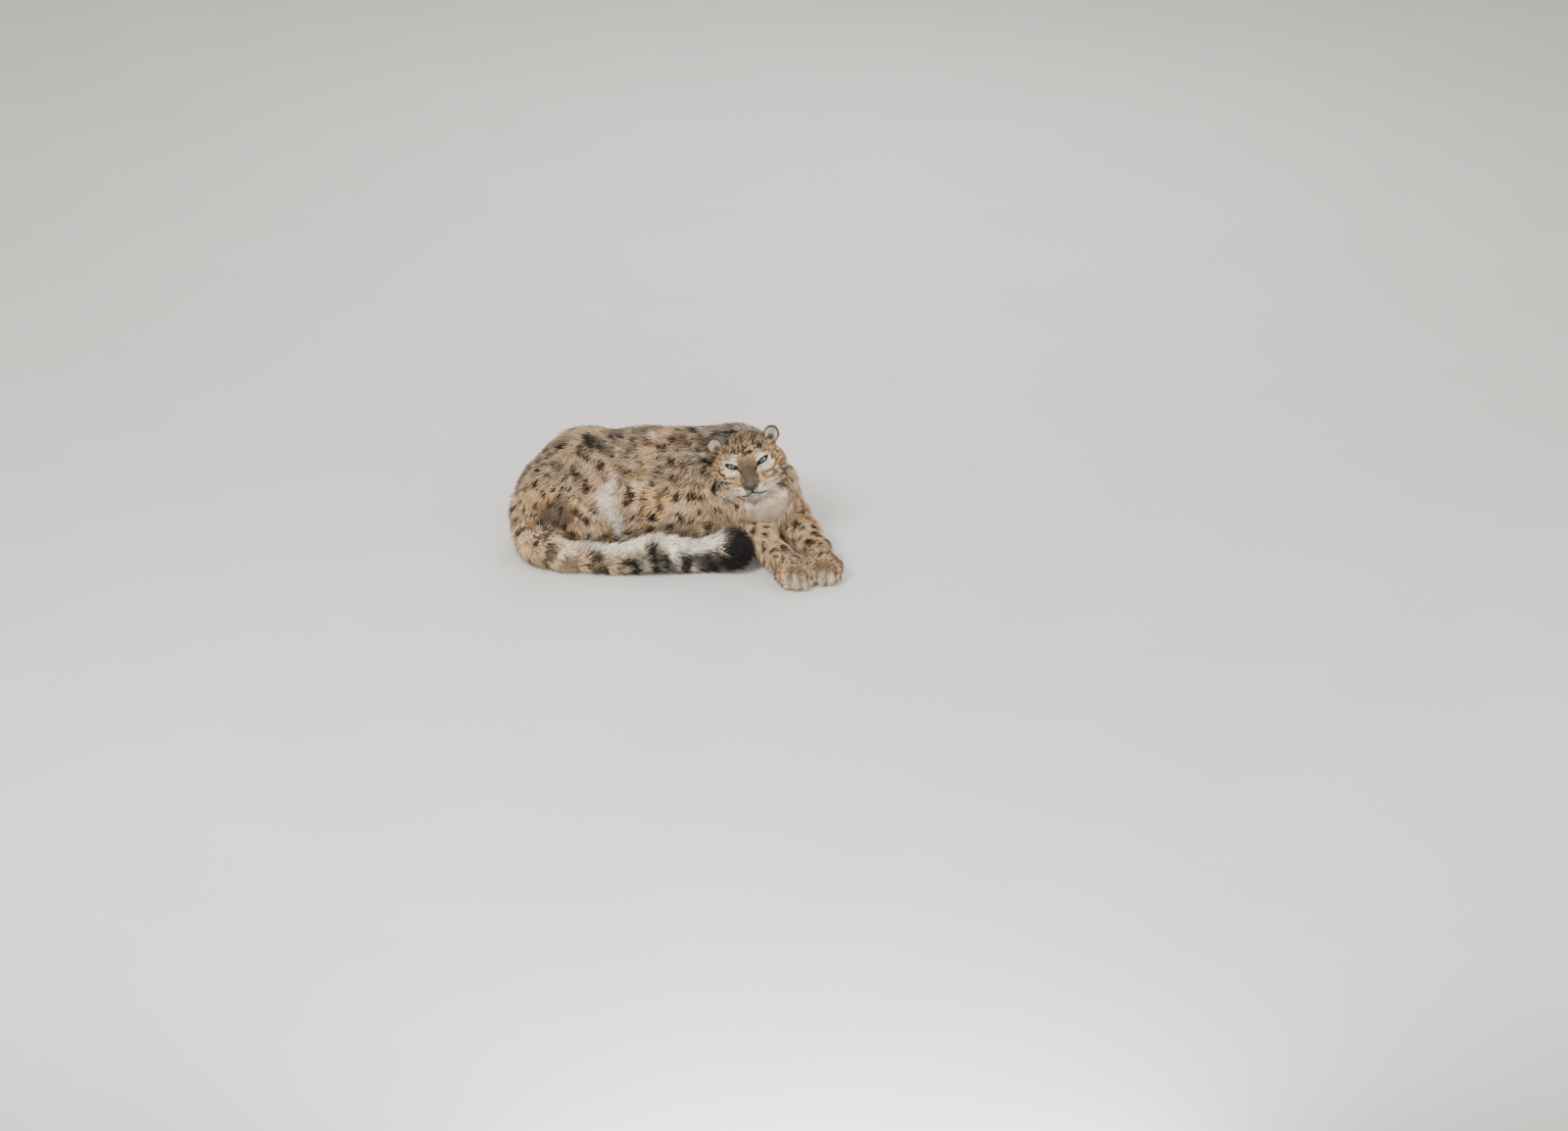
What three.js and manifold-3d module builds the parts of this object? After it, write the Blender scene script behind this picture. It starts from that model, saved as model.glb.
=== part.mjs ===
// A resting snow leopard, life size, as a still museum model: it lies curled with its head raised and
// turned to one side, the forepaws stretched out and the tail wrapped along the flank.
// Millimetres, +Z up. The rump is towards -X, the chest towards +X, and the face looks towards -Y.
// The outside of every solid is the tips of the coat: a body form plus the coat's depth there.
import * as THREE from "three";
import { mergeVertices } from "three/addons/utils/BufferGeometryUtils.js";
import Module from "manifold-3d";

const wasm = await Module();
wasm.setup();

// Driving dimensions
const CUT = 0.3; // width of the thin cuts between parts
const BELOW = 50; // how far under the floor the forms are made before they are cut flat
const FAR = 900; // past every part of the body, for cutting blocks
const TAIL_SIDES = 11;
const TAIL_RINGS = 26;
const EYE_RADIUS = 13.5;
const EYE_SPACING = 77.5; // between the eyeballs' centres
const EYE_DEPTH = 13; // of their centres, behind the face
const EYE_SIDES = 12;
const EYE_RINGS = 8;
const SOCKET_ROOM = 0.4; // clear space round each eyeball
const HEAD_CELL = 17; // cell sizes of the surfaces, smaller where the form is finer
const EAR_CELL = 11;
const PAW_CELL = 22;
const LEG_CELL = 36;
const TRUNK_CELL = 50;

// The head's own frame: x to the animal's left, y out along the nose, z to the crown, 0 between the eyes
const HEAD_AT = new THREE.Vector3(176, 86, 251.3);
const HEAD_PITCH = THREE.MathUtils.degToRad(11); // nose up
const HEAD_ROLL = THREE.MathUtils.degToRad(13.1); // crown towards -X
const headMatrix = new THREE.Matrix4()
  .makeTranslation(HEAD_AT)
  .multiply(new THREE.Matrix4().makeRotationX(-HEAD_PITCH))
  .multiply(new THREE.Matrix4().makeRotationY(-HEAD_ROLL))
  .multiply(new THREE.Matrix4().makeScale(1, -1, 1));
const headInverse = headMatrix.clone().invert();

// A body form is a list of limbs, which are tapered round bars, and balls, which are ellipsoids.
// Their sizes are those of the skin, and coat is the coat's depth over it.
const limb = (from, to, startRadius, endRadius, coat) => ({ from, to, startRadius, endRadius, coat });
const ball = (centre, radii, coat, yaw = 0) => ({ centre, radii, coat, yaw });
const mirrored = (shape) => {
  const flip = ([x, y, z]) => [-x, y, z];
  if (shape.from) return { ...shape, from: flip(shape.from), to: flip(shape.to) };
  return { ...shape, centre: flip(shape.centre), yaw: -shape.yaw };
};
const bothSides = (shape) => [shape, mirrored(shape)];

const TRUNK = {
  blend: 60,
  shapes: [
    limb([-290, 200, 112], [-215, 210, 136], 80, 110, 24),
    limb([-215, 210, 136], [-60, 232, 128], 110, 112, 24),
    limb([-60, 232, 128], [60, 240, 124], 112, 108, 24),
    limb([60, 240, 124], [135, 228, 126], 108, 102, 26),
    limb([-200, 212, 92], [120, 222, 90], 90, 90, 24),
    ball([146, 252, 162], [70, 60, 70], 26),
    limb([135, 228, 126], [205, 168, 112], 98, 68, 26),
  ],
};
const NECK = {
  blend: 34,
  shapes: [
    limb([160, 240, 172], [176, 190, 212], 72, 50, 25),
    limb([180, 158, 196], [200, 140, 150], 46, 50, 26),
  ],
};
const HINDLEG_RIGHT = {
  blend: 30,
  shapes: [
    ball([-292, 135, 116], [76, 55, 88], 24, 8),
    limb([-280, 150, 148], [-222, 105, 90], 60, 42, 22),
    limb([-222, 105, 90], [-335, 112, 56], 40, 26, 18),
  ],
};
const HINDFOOT_RIGHT = {
  blend: 16,
  shapes: [
    limb([-335, 112, 38], [-215, 90, 30], 26, 21, 14),
    limb([-215, 90, 30], [-165, 82, 25], 23, 20, 10),
  ],
};
const HINDLEG_LEFT = {
  blend: 30,
  shapes: [
    ball([-250, 292, 110], [78, 52, 86], 24, -8),
    limb([-240, 290, 138], [-165, 325, 86], 58, 42, 22),
    limb([-165, 325, 86], [-290, 335, 54], 40, 26, 18),
  ],
};
const HINDFOOT_LEFT = {
  blend: 16,
  shapes: [
    limb([-290, 335, 38], [-180, 352, 30], 26, 21, 14),
    limb([-180, 352, 30], [-128, 356, 25], 23, 20, 10),
  ],
};
const FORELEG_RIGHT = {
  blend: 24,
  shapes: [
    limb([120, 150, 146], [150, 130, 64], 60, 40, 20),
    limb([150, 130, 58], [205, 70, 54], 38, 30, 14),
    limb([205, 70, 54], [252, -8, 40], 30, 28, 12),
  ],
};
const FORELEG_LEFT = {
  blend: 24,
  shapes: [
    limb([235, 215, 136], [276, 200, 64], 50, 34, 18),
    limb([276, 200, 58], [312, 120, 52], 36, 29, 14),
    limb([312, 120, 52], [346, 38, 40], 29, 27, 12),
  ],
};
const FOREPAW_RIGHT = paw([252, -8, 39], [289, -72], 18);
const FOREPAW_LEFT = paw([346, 38, 39], [363, -40], 8);

// A forepaw goes from the wrist to a broad pad, with four toes that fan out from its middle.
// It points yaw degrees from -Y towards +X.
function paw(wrist, [x, y], yaw) {
  const PAD = [45, 46, 26];
  const TOE_REACH = 42;
  const TOE_FAN = 27;
  const toes = [-1.5, -0.5, 0.5, 1.5].map((place) => {
    const turn = THREE.MathUtils.degToRad(yaw + place * TOE_FAN);
    const reach = TOE_REACH * (Math.abs(place) > 1 ? 0.92 : 1);
    const out = (part) => [x + Math.sin(turn) * reach * part, y - Math.cos(turn) * reach * part];
    return limb([...out(0.45), 31], [...out(1), 18], 14, 13, 7);
  });
  const back = limb(wrist, [x - 5, y + 22, 32], 28, 31, 9);
  return { blend: 14, shapes: [back, ball([x, y, 28], PAD, 8, yaw), ...toes] };
}

// The tail runs from the back of the rump round its side and along the floor, thickest at its tuft.
const TAIL_STATIONS = [
  { at: [-318, 232, 166], radius: 46 },
  { at: [-350, 215, 124], radius: 46 },
  { at: [-362, 160, 78], radius: 46 },
  { at: [-352, 95, 48], radius: 46 },
  { at: [-318, 36, 41], radius: 45 },
  { at: [-232, 4, 35], radius: 39 },
  { at: [-141, -6, 36], radius: 40 },
  { at: [-49, 2, 45], radius: 49 },
  { at: [55, 10, 39], radius: 43 },
  { at: [132, 12, 52], radius: 55 },
];
const tailLine = new THREE.CatmullRomCurve3(TAIL_STATIONS.map(({ at }) => new THREE.Vector3(...at)));
function tailRadius(t) {
  const place = t * (TAIL_STATIONS.length - 1);
  const i = Math.min(Math.floor(place), TAIL_STATIONS.length - 2);
  return THREE.MathUtils.lerp(TAIL_STATIONS[i].radius, TAIL_STATIONS[i + 1].radius, place - i);
}
// A long round body about the tail's line, with domed ends: a ball's rings, each set at its place.
function tailGeometry(extra) {
  const geometry = new THREE.SphereGeometry(1, TAIL_SIDES, TAIL_RINGS);
  const position = geometry.attributes.position;
  const up = new THREE.Vector3(0, 0, 1);
  const length = tailLine.getLength();
  const DOME_RINGS = 4;
  for (let i = 0; i < position.count; i++) {
    const vertex = new THREE.Vector3().fromBufferAttribute(position, i);
    const ring = (Math.acos(THREE.MathUtils.clamp(vertex.y, -1, 1)) / Math.PI) * TAIL_RINGS;
    const fromEnd = Math.min(ring, TAIL_RINGS - ring);
    const start = ring < TAIL_RINGS / 2;
    const t = THREE.MathUtils.clamp((ring - DOME_RINGS) / (TAIL_RINGS - 2 * DOME_RINGS), 0, 1);
    const tangent = tailLine.getTangent(t);
    const side = tangent.clone().cross(up).normalize();
    const over = side.clone().cross(tangent);
    const turn = Math.atan2(vertex.z, vertex.x);
    const tilt = (Math.min(fromEnd / DOME_RINGS, 1) * Math.PI) / 2;
    const radius = tailRadius(t) + extra;
    const at = tailLine.getPoint(t).addScaledVector(tangent, radius * Math.cos(tilt) * (start ? -1 : 1));
    at.addScaledVector(side, radius * Math.sin(tilt) * Math.cos(turn));
    at.addScaledVector(over, radius * Math.sin(tilt) * Math.sin(turn));
    position.setXYZ(i, at.x, at.y, at.z);
  }
  return geometry;
}

const HEAD = {
  blend: 14,
  shapes: [
    ball([0, -62, 12], [62, 62, 50], 10),
    ...bothSides(ball([50, -42, -16], [36, 36, 32], 12)),
    ...bothSides(ball([60, -62, -44], [28, 30, 28], 16)),
    ...bothSides(limb([22, -16, 20], [46, -26, 14], 13, 13, 4)),
    limb([0, -24, 6], [0, 46, -27], 20, 15, 3),
    ...bothSides(limb([14, -16, -8], [12, 30, -34], 18, 17, 3)),
    ...bothSides(ball([17, 43, -46], [20, 21, 16], 3)),
    ball([0, 60, -36], [17, 9, 12], 0),
    limb([0, 36, -72], [0, 4, -72], 14, 22, 5),
    ...bothSides(limb([10, 30, -68], [44, -40, -50], 14, 24, 8)),
  ],
};
const EYE_HOLLOWS = { blend: 1, shapes: bothSides(ball([39, 5, -1], [17, 14, 10.5], 0)) };
const EAR = {
  blend: 10,
  shapes: [ball([72, -64, 46], [19, 9, 20], 3, -18), limb([52, -60, 22], [68, -65, 40], 21, 15, 3)],
};
const EAR_HOLLOW = ball([75, -51, 47], [13, 13, 15], 0, -18);
const EYE_BLEND = 8;
const EAR_BLEND = 5;

// Signed distances, in millimetres, below 0 inside
function smoothMin(a, b, blend) {
  const h = Math.max(blend - Math.abs(a - b), 0) / blend;
  return Math.min(a, b) - (h * h * blend) / 4;
}
function toLimb(p, { from, to, startRadius, endRadius, coat }) {
  const along = [to[0] - from[0], to[1] - from[1], to[2] - from[2]];
  const off = [p[0] - from[0], p[1] - from[1], p[2] - from[2]];
  const dot = along[0] * off[0] + along[1] * off[1] + along[2] * off[2];
  const t = THREE.MathUtils.clamp(dot / (along[0] ** 2 + along[1] ** 2 + along[2] ** 2), 0, 1);
  const away = Math.hypot(off[0] - t * along[0], off[1] - t * along[1], off[2] - t * along[2]);
  return away - (startRadius + t * (endRadius - startRadius)) - coat;
}
function toBall(p, { centre, radii, coat, yaw }) {
  const turn = THREE.MathUtils.degToRad(yaw);
  const [dx, dy, dz] = [p[0] - centre[0], p[1] - centre[1], p[2] - centre[2]];
  const x = dx * Math.cos(turn) + dy * Math.sin(turn);
  const y = -dx * Math.sin(turn) + dy * Math.cos(turn);
  const [a, b, c] = radii.map((r) => r + coat);
  const k = Math.hypot(x / a, y / b, dz / c);
  const slope = Math.hypot(x / a ** 2, y / b ** 2, dz / c ** 2);
  return (k * (k - 1)) / Math.max(slope, 1e-9);
}
const toShape = (p, shape) => (shape.from ? toLimb(p, shape) : toBall(p, shape));
const toForm = (p, { blend, shapes }) =>
  shapes.map((shape) => toShape(p, shape)).reduce((a, b) => smoothMin(a, b, blend));

const inHead = (p) => new THREE.Vector3(...p).applyMatrix4(headInverse).toArray();
const hollowed = (d, hollow, blend) => -smoothMin(-d, hollow, blend);
const toHead = (p) => {
  const h = inHead(p);
  return hollowed(toForm(h, HEAD), toForm(h, EYE_HOLLOWS), EYE_BLEND);
};
const toEar = (side) => (p) => {
  const [x, y, z] = inHead(p);
  const h = [side * x, y, z];
  return hollowed(toForm(h, EAR), toBall(h, EAR_HOLLOW), EAR_BLEND);
};

// A closed mesh of the surface where distance is 0, inside a box. One vertex goes in each cell that
// the surface passes through, and one face across each edge whose ends lie on either side of it.
const CORNERS = Array.from({ length: 8 }, (_, i) => [i & 1, (i >> 1) & 1, (i >> 2) & 1]);
const EDGES = CORNERS.flatMap((_, i) => [1, 2, 4].filter((b) => !(i & b)).map((b) => [i, i | b]));
function surface(distance, low, high, cell) {
  const size = low.map((l, i) => Math.ceil((high[i] - l) / cell) + 1);
  const at = (i, j, k) => i + size[0] * (j + size[1] * k);
  const place = (i, j, k) => [low[0] + i * cell, low[1] + j * cell, low[2] + k * cell];
  const values = new Float64Array(size[0] * size[1] * size[2]);
  for (let k = 0; k < size[2]; k++)
    for (let j = 0; j < size[1]; j++)
      for (let i = 0; i < size[0]; i++) {
        const rim = [i, j, k].some((at, axis) => at === 0 || at === size[axis] - 1);
        values[at(i, j, k)] = rim ? cell : distance(place(i, j, k)) || 1e-6;
      }
  const vertexOf = new Map();
  const vertices = [];
  const vertexIn = (i, j, k) => {
    const key = at(i, j, k);
    if (vertexOf.has(key)) return vertexOf.get(key);
    const sum = [0, 0, 0];
    let crossings = 0;
    for (const [a, b] of EDGES) {
      const [p, q] = [CORNERS[a], CORNERS[b]];
      const [va, vb] = [values[at(i + p[0], j + p[1], k + p[2])], values[at(i + q[0], j + q[1], k + q[2])]];
      if (va < 0 === vb < 0) continue;
      const t = va / (va - vb);
      for (let axis = 0; axis < 3; axis++) sum[axis] += p[axis] + t * (q[axis] - p[axis]);
      crossings++;
    }
    const base = place(i, j, k);
    vertices.push(...settle(distance, sum.map((s, axis) => base[axis] + (s / crossings) * cell), cell));
    vertexOf.set(key, vertexOf.size);
    return vertexOf.get(key);
  };
  const triangles = [];
  for (let k = 0; k < size[2] - 1; k++)
    for (let j = 0; j < size[1] - 1; j++)
      for (let i = 0; i < size[0] - 1; i++)
        [0, 1, 2].forEach((axis) => {
          const step = [0, 0, 0];
          step[axis] = 1;
          const here = values[at(i, j, k)] < 0;
          if (here === values[at(i + step[0], j + step[1], k + step[2])] < 0) return;
          const [u, v] = [(axis + 1) % 3, (axis + 2) % 3];
          const ring = [[0, 0], [1, 0], [1, 1], [0, 1]].map(([du, dv]) => {
            const c = [i, j, k];
            c[u] -= du;
            c[v] -= dv;
            return vertexIn(...c);
          });
          if (!here) ring.reverse();
          triangles.push(ring[0], ring[1], ring[2], ring[0], ring[2], ring[3]);
        });
  const geometry = new THREE.BufferGeometry();
  geometry.setAttribute("position", new THREE.Float32BufferAttribute(vertices, 3));
  geometry.setIndex(triangles);
  geometry.computeVertexNormals();
  return geometry;
}
// Moves a point along the slope of the distance to the surface, by no more than part of a cell.
function settle(distance, p, cell) {
  const FARTHEST = 0.35 * cell;
  const LEAST_SLOPE = 0.2;
  const h = 0.5;
  const d = distance(p);
  const slope = [0, 1, 2].map((axis) => {
    const q = [...p];
    q[axis] += h;
    return (distance(q) - d) / h;
  });
  const steep = Math.max(slope[0] ** 2 + slope[1] ** 2 + slope[2] ** 2, LEAST_SLOPE);
  const move = THREE.MathUtils.clamp(d / steep, -FARTHEST, FARTHEST);
  return p.map((x, axis) => x - move * slope[axis]);
}

function toSolid(vertProperties, triVerts) {
  const solid = new wasm.Manifold(new wasm.Mesh({ numProp: 3, vertProperties, triVerts }));
  return solid.volume() < 0 ? toSolid(vertProperties, triVerts.reverse()) : solid;
}
function solidOf(geometry) {
  geometry.deleteAttribute("normal");
  geometry.deleteAttribute("uv");
  const merged = mergeVertices(geometry, 1e-3);
  return toSolid(merged.attributes.position.array, new Uint32Array(merged.index.array));
}
function geometryOf(solid) {
  const { vertProperties, triVerts } = solid.getMesh();
  const geometry = new THREE.BufferGeometry();
  geometry.setAttribute("position", new THREE.BufferAttribute(vertProperties, 3));
  geometry.setIndex(new THREE.BufferAttribute(triVerts, 1));
  geometry.computeVertexNormals();
  return geometry;
}
// The largest piece of a solid: crumbs that a cut leaves are dropped.
const largest = (solid) => solid.decompose().reduce((a, b) => (b.volume() > a.volume() ? b : a));
const block = (low, high) => {
  const size = high.map((h, i) => h - low[i]);
  const middle = high.map((h, i) => (h + low[i]) / 2);
  return solidOf(new THREE.BoxGeometry(...size).translate(...middle));
};

const eyeball = (x, radius) => {
  const ball = new THREE.SphereGeometry(radius, EYE_SIDES, EYE_RINGS);
  return solidOf(ball.translate(x, -EYE_DEPTH, 0).applyMatrix4(headMatrix));
};
const eyes = { eye_right: -EYE_SPACING / 2, eye_left: EYE_SPACING / 2 };
const sockets = Object.values(eyes).map((x) => eyeball(x, EYE_RADIUS + SOCKET_ROOM));
const floorCut = block([-FAR, -FAR, -FAR], [FAR, FAR, 0]);

// Gives a function that makes the solid of a form inside a box, grown by extra.
function shaped(distance, low, high, cell) {
  const outside = surface(distance, low.map((x) => x - 2 * cell), high.map((x) => x + 2 * cell), cell);
  const { position, normal } = outside.attributes;
  return (extra) => {
    const grown = outside.clone();
    for (let i = 0; i < position.count; i++) {
      const from = new THREE.Vector3().fromBufferAttribute(position, i);
      const vertex = from.addScaledVector(new THREE.Vector3().fromBufferAttribute(normal, i), extra);
      grown.attributes.position.setXYZ(i, vertex.x, vertex.y, vertex.z);
    }
    return solidOf(grown).intersect(block(low.map((x) => x - extra), high.map((x) => x + extra)));
  };
}
const ofForm = (form) => (p) => toForm(p, form);
const legs = [
  ["forepaw_right", FOREPAW_RIGHT, [190, -180, -BELOW], [370, 40, 130], PAW_CELL],
  ["forepaw_left", FOREPAW_LEFT, [280, -150, -BELOW], [460, 90, 130], PAW_CELL],
  ["foreleg_right", FORELEG_RIGHT, [84, -60, -BELOW], [310, 152, 200], LEG_CELL],
  ["foreleg_left", FORELEG_LEFT, [225, -20, -BELOW], [400, 250, 180], LEG_CELL],
  ["neck", NECK, [50, 40, 118], [310, 262, 300], LEG_CELL],
  ["hindfoot_right", HINDFOOT_RIGHT, [-400, 20, -BELOW], [-110, 180, 110], LEG_CELL],
  ["hindfoot_left", HINDFOOT_LEFT, [-360, 270, -BELOW], [-70, 420, 110], LEG_CELL],
  ["hindleg_right", HINDLEG_RIGHT, [-430, 30, -BELOW], [-130, 128, 260], LEG_CELL],
  ["hindleg_left", HINDLEG_LEFT, [-390, 300, -BELOW], [-80, 420, 260], LEG_CELL],
];

// Each length of a form runs from the one before it to its own place along X.
const TAIL_CUTS = { tail_root: -325, tail_rear: -190, tail_middle: -50, tail_front: 84, tail_tip: Infinity };
const TRUNK_CUTS = { rump: -136, belly: 36, chest: Infinity };
function lengthsOf(solid, cuts) {
  let from = -FAR;
  return Object.entries(cuts).map(([name, to]) => {
    const length = solid.intersect(block([from, -FAR, -FAR], [Math.min(to, FAR), FAR, FAR]));
    from = to + CUT;
    return [name, length];
  });
}

// Every form is cut by those before it, grown by the thin cut, so that no two overlap.
const solids = [];
let taken = sockets[0].add(sockets[1]);
function take(name, grownForm, cuts) {
  const solid = grownForm(0).subtract(taken).subtract(floorCut);
  taken = taken.add(grownForm(CUT));
  solids.push(...(cuts ? lengthsOf(solid, cuts) : [[name, solid]]));
}
take("head", shaped(toHead, [20, -76, 120], [320, 172, 360], HEAD_CELL));
take("ear_right", shaped(toEar(-1), [30, 70, 230], [140, 210, 350], EAR_CELL));
take("ear_left", shaped(toEar(1), [180, 70, 260], [300, 210, 380], EAR_CELL));
take("tail", (extra) => solidOf(tailGeometry(extra)), TAIL_CUTS);
for (const [name, form, low, high, cell] of legs) take(name, shaped(ofForm(form), low, high, cell));
take("trunk", shaped(ofForm(TRUNK), [-460, 20, -60], [340, 440, 340], TRUNK_CELL), TRUNK_CUTS);
for (const [name, x] of Object.entries(eyes)) solids.push([name, eyeball(x, EYE_RADIUS)]);

// Each part has a material of its own, in the coat's mean colour there.
const COAT_COLOURS = {
  head: 0xb7a48b,
  ear_right: 0xa89a88,
  ear_left: 0xa89a88,
  neck: 0xbfae93,
  tail_root: 0x8d8069,
  tail_rear: 0x9a907f,
  tail_middle: 0x8f8678,
  tail_front: 0x877d70,
  tail_tip: 0x3a3532,
  forepaw_right: 0xc4b294,
  forepaw_left: 0xc4b294,
  eye_right: 0x8d9a86,
  eye_left: 0x8d9a86,
};
const COAT_COLOUR = 0xb2966d;
const WET = 0.08;
const MATT = 0.92;
const leopard = new THREE.Group();
for (const [name, solid] of solids) {
  const color = COAT_COLOURS[name] ?? COAT_COLOUR;
  const roughness = name in eyes ? WET : MATT;
  const material = new THREE.MeshStandardMaterial({ color, roughness, metalness: 0 });
  const mesh = new THREE.Mesh(geometryOf(largest(solid)), material);
  mesh.name = name;
  leopard.add(mesh);
}

// The origin is under the middle of the whole.
const bounds = new THREE.Box3().setFromObject(leopard);
const middle = bounds.getCenter(new THREE.Vector3());
leopard.position.set(-middle.x, -middle.y, -bounds.min.z);

export default leopard;
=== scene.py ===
"""A resting snow leopard, life size: one skin, its eyes and whiskers, and a coat of solid tufts."""

import math
from functools import lru_cache

import bpy
import bmesh
import numpy as np
import openvdb
from mathutils import Matrix, Vector


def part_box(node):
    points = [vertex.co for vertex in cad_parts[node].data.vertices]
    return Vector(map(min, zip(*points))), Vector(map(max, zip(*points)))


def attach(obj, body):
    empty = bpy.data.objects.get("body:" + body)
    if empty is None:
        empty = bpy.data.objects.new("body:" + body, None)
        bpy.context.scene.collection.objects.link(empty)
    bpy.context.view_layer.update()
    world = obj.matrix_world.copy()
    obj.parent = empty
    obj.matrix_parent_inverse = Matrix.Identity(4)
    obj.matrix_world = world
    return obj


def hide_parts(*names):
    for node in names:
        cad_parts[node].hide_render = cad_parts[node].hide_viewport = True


bl_info = {
    "name": "Resting Snow Leopard",
    "version": (1, 0, 0),
    "blender": (4, 5, 0),
    "location": "3D Viewport > Sidebar > Leopard",
    "description": "Builds the skin, eyes, whiskers and coat of a resting snow leopard",
    "category": "Object",
}

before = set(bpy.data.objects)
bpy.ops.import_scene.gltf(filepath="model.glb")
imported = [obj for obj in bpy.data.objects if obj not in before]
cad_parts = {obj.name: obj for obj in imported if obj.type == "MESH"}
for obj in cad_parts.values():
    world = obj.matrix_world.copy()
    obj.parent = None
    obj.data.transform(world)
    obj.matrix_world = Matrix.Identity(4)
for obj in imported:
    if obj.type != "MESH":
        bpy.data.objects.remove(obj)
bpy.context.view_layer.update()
MM = 0.001

# The body, in millimetres. Its forms are the solids' own. Limbs are tapered round bars and balls are
# ellipsoids, in the sizes of the skin, and coat is the coat's depth over it. blend rounds a form's own
# shapes into each other and join rounds the form into the rest. flow is the way the hair lies on a
# form, from nose to tail and down the legs; on a form without one it lies along the limbs.


def limb(start, end, start_radius, end_radius, coat):
    return dict(start=start, end=end, radii=(start_radius, end_radius), coat=coat)


def ball(centre, radii, coat, yaw=0):
    return dict(centre=centre, radii=radii, coat=coat, yaw=yaw)


def mirrored(shape):
    flip = {key: (-shape[key][0], *shape[key][1:]) for key in ("start", "end", "centre") if key in shape}
    return {**shape, **flip, "yaw": -shape.get("yaw", 0)}


def both(shape):
    return [shape, mirrored(shape)]


def paw(wrist, x, y, yaw):
    """A forepaw: a wrist, a broad pad, and four toes that fan out from its middle."""
    toes = []
    for place in (-1.5, -0.5, 0.5, 1.5):
        turn = math.radians(yaw + place * 27)
        reach = 42 * (0.92 if abs(place) > 1 else 1)
        knuckle = (x + math.sin(turn) * reach * 0.45, y - math.cos(turn) * reach * 0.45, 31)
        tip = (x + math.sin(turn) * reach, y - math.cos(turn) * reach, 18)
        toes.append(limb(knuckle, tip, 14, 13, 7))
    return [limb(wrist, (x - 5, y + 22, 32), 28, 31, 9), ball((x, y, 28), (45, 46, 26), 8, yaw), *toes]


# Points of the tail's line from root to tip, with its radius there over the coat
TAIL_STATIONS = np.array([
    (-318, 232, 166, 46), (-350, 215, 124, 46), (-362, 160, 78, 46), (-352, 95, 48, 46), (-318, 36, 41, 45),
    (-232, 4, 35, 39), (-141, -6, 36, 40), (-49, 2, 45, 49), (55, 10, 39, 43), (132, 12, 52, 55),
], float)
TAIL_COAT = 26


def tail_line(steps=4):
    """Points and radii along the tail, through its stations."""
    stations = TAIL_STATIONS
    ends = np.vstack([2 * stations[0] - stations[1], stations, 2 * stations[-1] - stations[-2]])
    points = []
    for i in range(1, len(ends) - 2):
        a, b, c, d = ends[i - 1:i + 3]
        for t in np.arange(steps) / steps:
            bend = (2 * a - 5 * b + 4 * c - d) * t**2 + (3 * b - a - 3 * c + d) * t**3
            points.append(0.5 * (2 * b + (c - a) * t + bend))
    return np.array([*points, ends[-2]])


TAIL = tail_line()
FORMS = {
    "trunk": dict(blend=60, join=20, flow=(-1, -0.1, -0.55), shapes=[
        limb((-290, 200, 112), (-215, 210, 136), 80, 110, 24),
        limb((-215, 210, 136), (-60, 232, 128), 110, 112, 24),
        limb((-60, 232, 128), (60, 240, 124), 112, 108, 24),
        limb((60, 240, 124), (135, 228, 126), 108, 102, 26),
        limb((-200, 212, 92), (120, 222, 90), 90, 90, 24),
        ball((146, 252, 162), (70, 60, 70), 26),
        limb((135, 228, 126), (205, 168, 112), 98, 68, 26)]),
    "neck": dict(blend=34, join=34, flow=(-0.1, 0.25, -1), shapes=[
        limb((160, 240, 172), (176, 190, 212), 72, 50, 25),
        limb((180, 158, 196), (200, 140, 150), 46, 50, 26)]),
    "hindleg_right": dict(blend=30, join=20, flow=(-0.35, -0.5, -0.9), shapes=[
        ball((-292, 135, 116), (76, 55, 88), 24, 8),
        limb((-280, 150, 148), (-222, 105, 90), 60, 42, 22),
        limb((-222, 105, 90), (-335, 112, 56), 40, 26, 18)]),
    "hindfoot_right": dict(blend=16, join=16, shapes=[
        limb((-335, 112, 38), (-215, 90, 30), 26, 21, 14),
        limb((-215, 90, 30), (-165, 82, 25), 23, 20, 10)]),
    "hindleg_left": dict(blend=30, join=20, flow=(-0.35, 0.5, -0.9), shapes=[
        ball((-250, 292, 110), (78, 52, 86), 24, -8),
        limb((-240, 290, 138), (-165, 325, 86), 58, 42, 22),
        limb((-165, 325, 86), (-290, 335, 54), 40, 26, 18)]),
    "hindfoot_left": dict(blend=16, join=16, shapes=[
        limb((-290, 335, 38), (-180, 352, 30), 26, 21, 14),
        limb((-180, 352, 30), (-128, 356, 25), 23, 20, 10)]),
    "foreleg_right": dict(blend=24, join=20, shapes=[
        limb((120, 150, 146), (150, 130, 64), 60, 40, 20),
        limb((150, 130, 58), (205, 70, 54), 38, 30, 14),
        limb((205, 70, 54), (252, -8, 40), 30, 28, 12)]),
    "foreleg_left": dict(blend=24, join=20, shapes=[
        limb((235, 215, 136), (276, 200, 64), 50, 34, 18),
        limb((276, 200, 58), (312, 120, 52), 36, 29, 14),
        limb((312, 120, 52), (346, 38, 40), 29, 27, 12)]),
    "forepaw_right": dict(blend=5, join=12, flow=(0.3, -1, -0.2), shapes=paw((252, -8, 39), 289, -72, 18)),
    "forepaw_left": dict(blend=5, join=12, flow=(0.15, -1, -0.2), shapes=paw((346, 38, 39), 363, -40, 8)),
    "tail": dict(blend=8, join=4, shapes=[
        limb(tuple(a[:3]), tuple(b[:3]), a[3] - TAIL_COAT, b[3] - TAIL_COAT, TAIL_COAT)
        for a, b in zip(TAIL, TAIL[1:])]),
}

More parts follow.
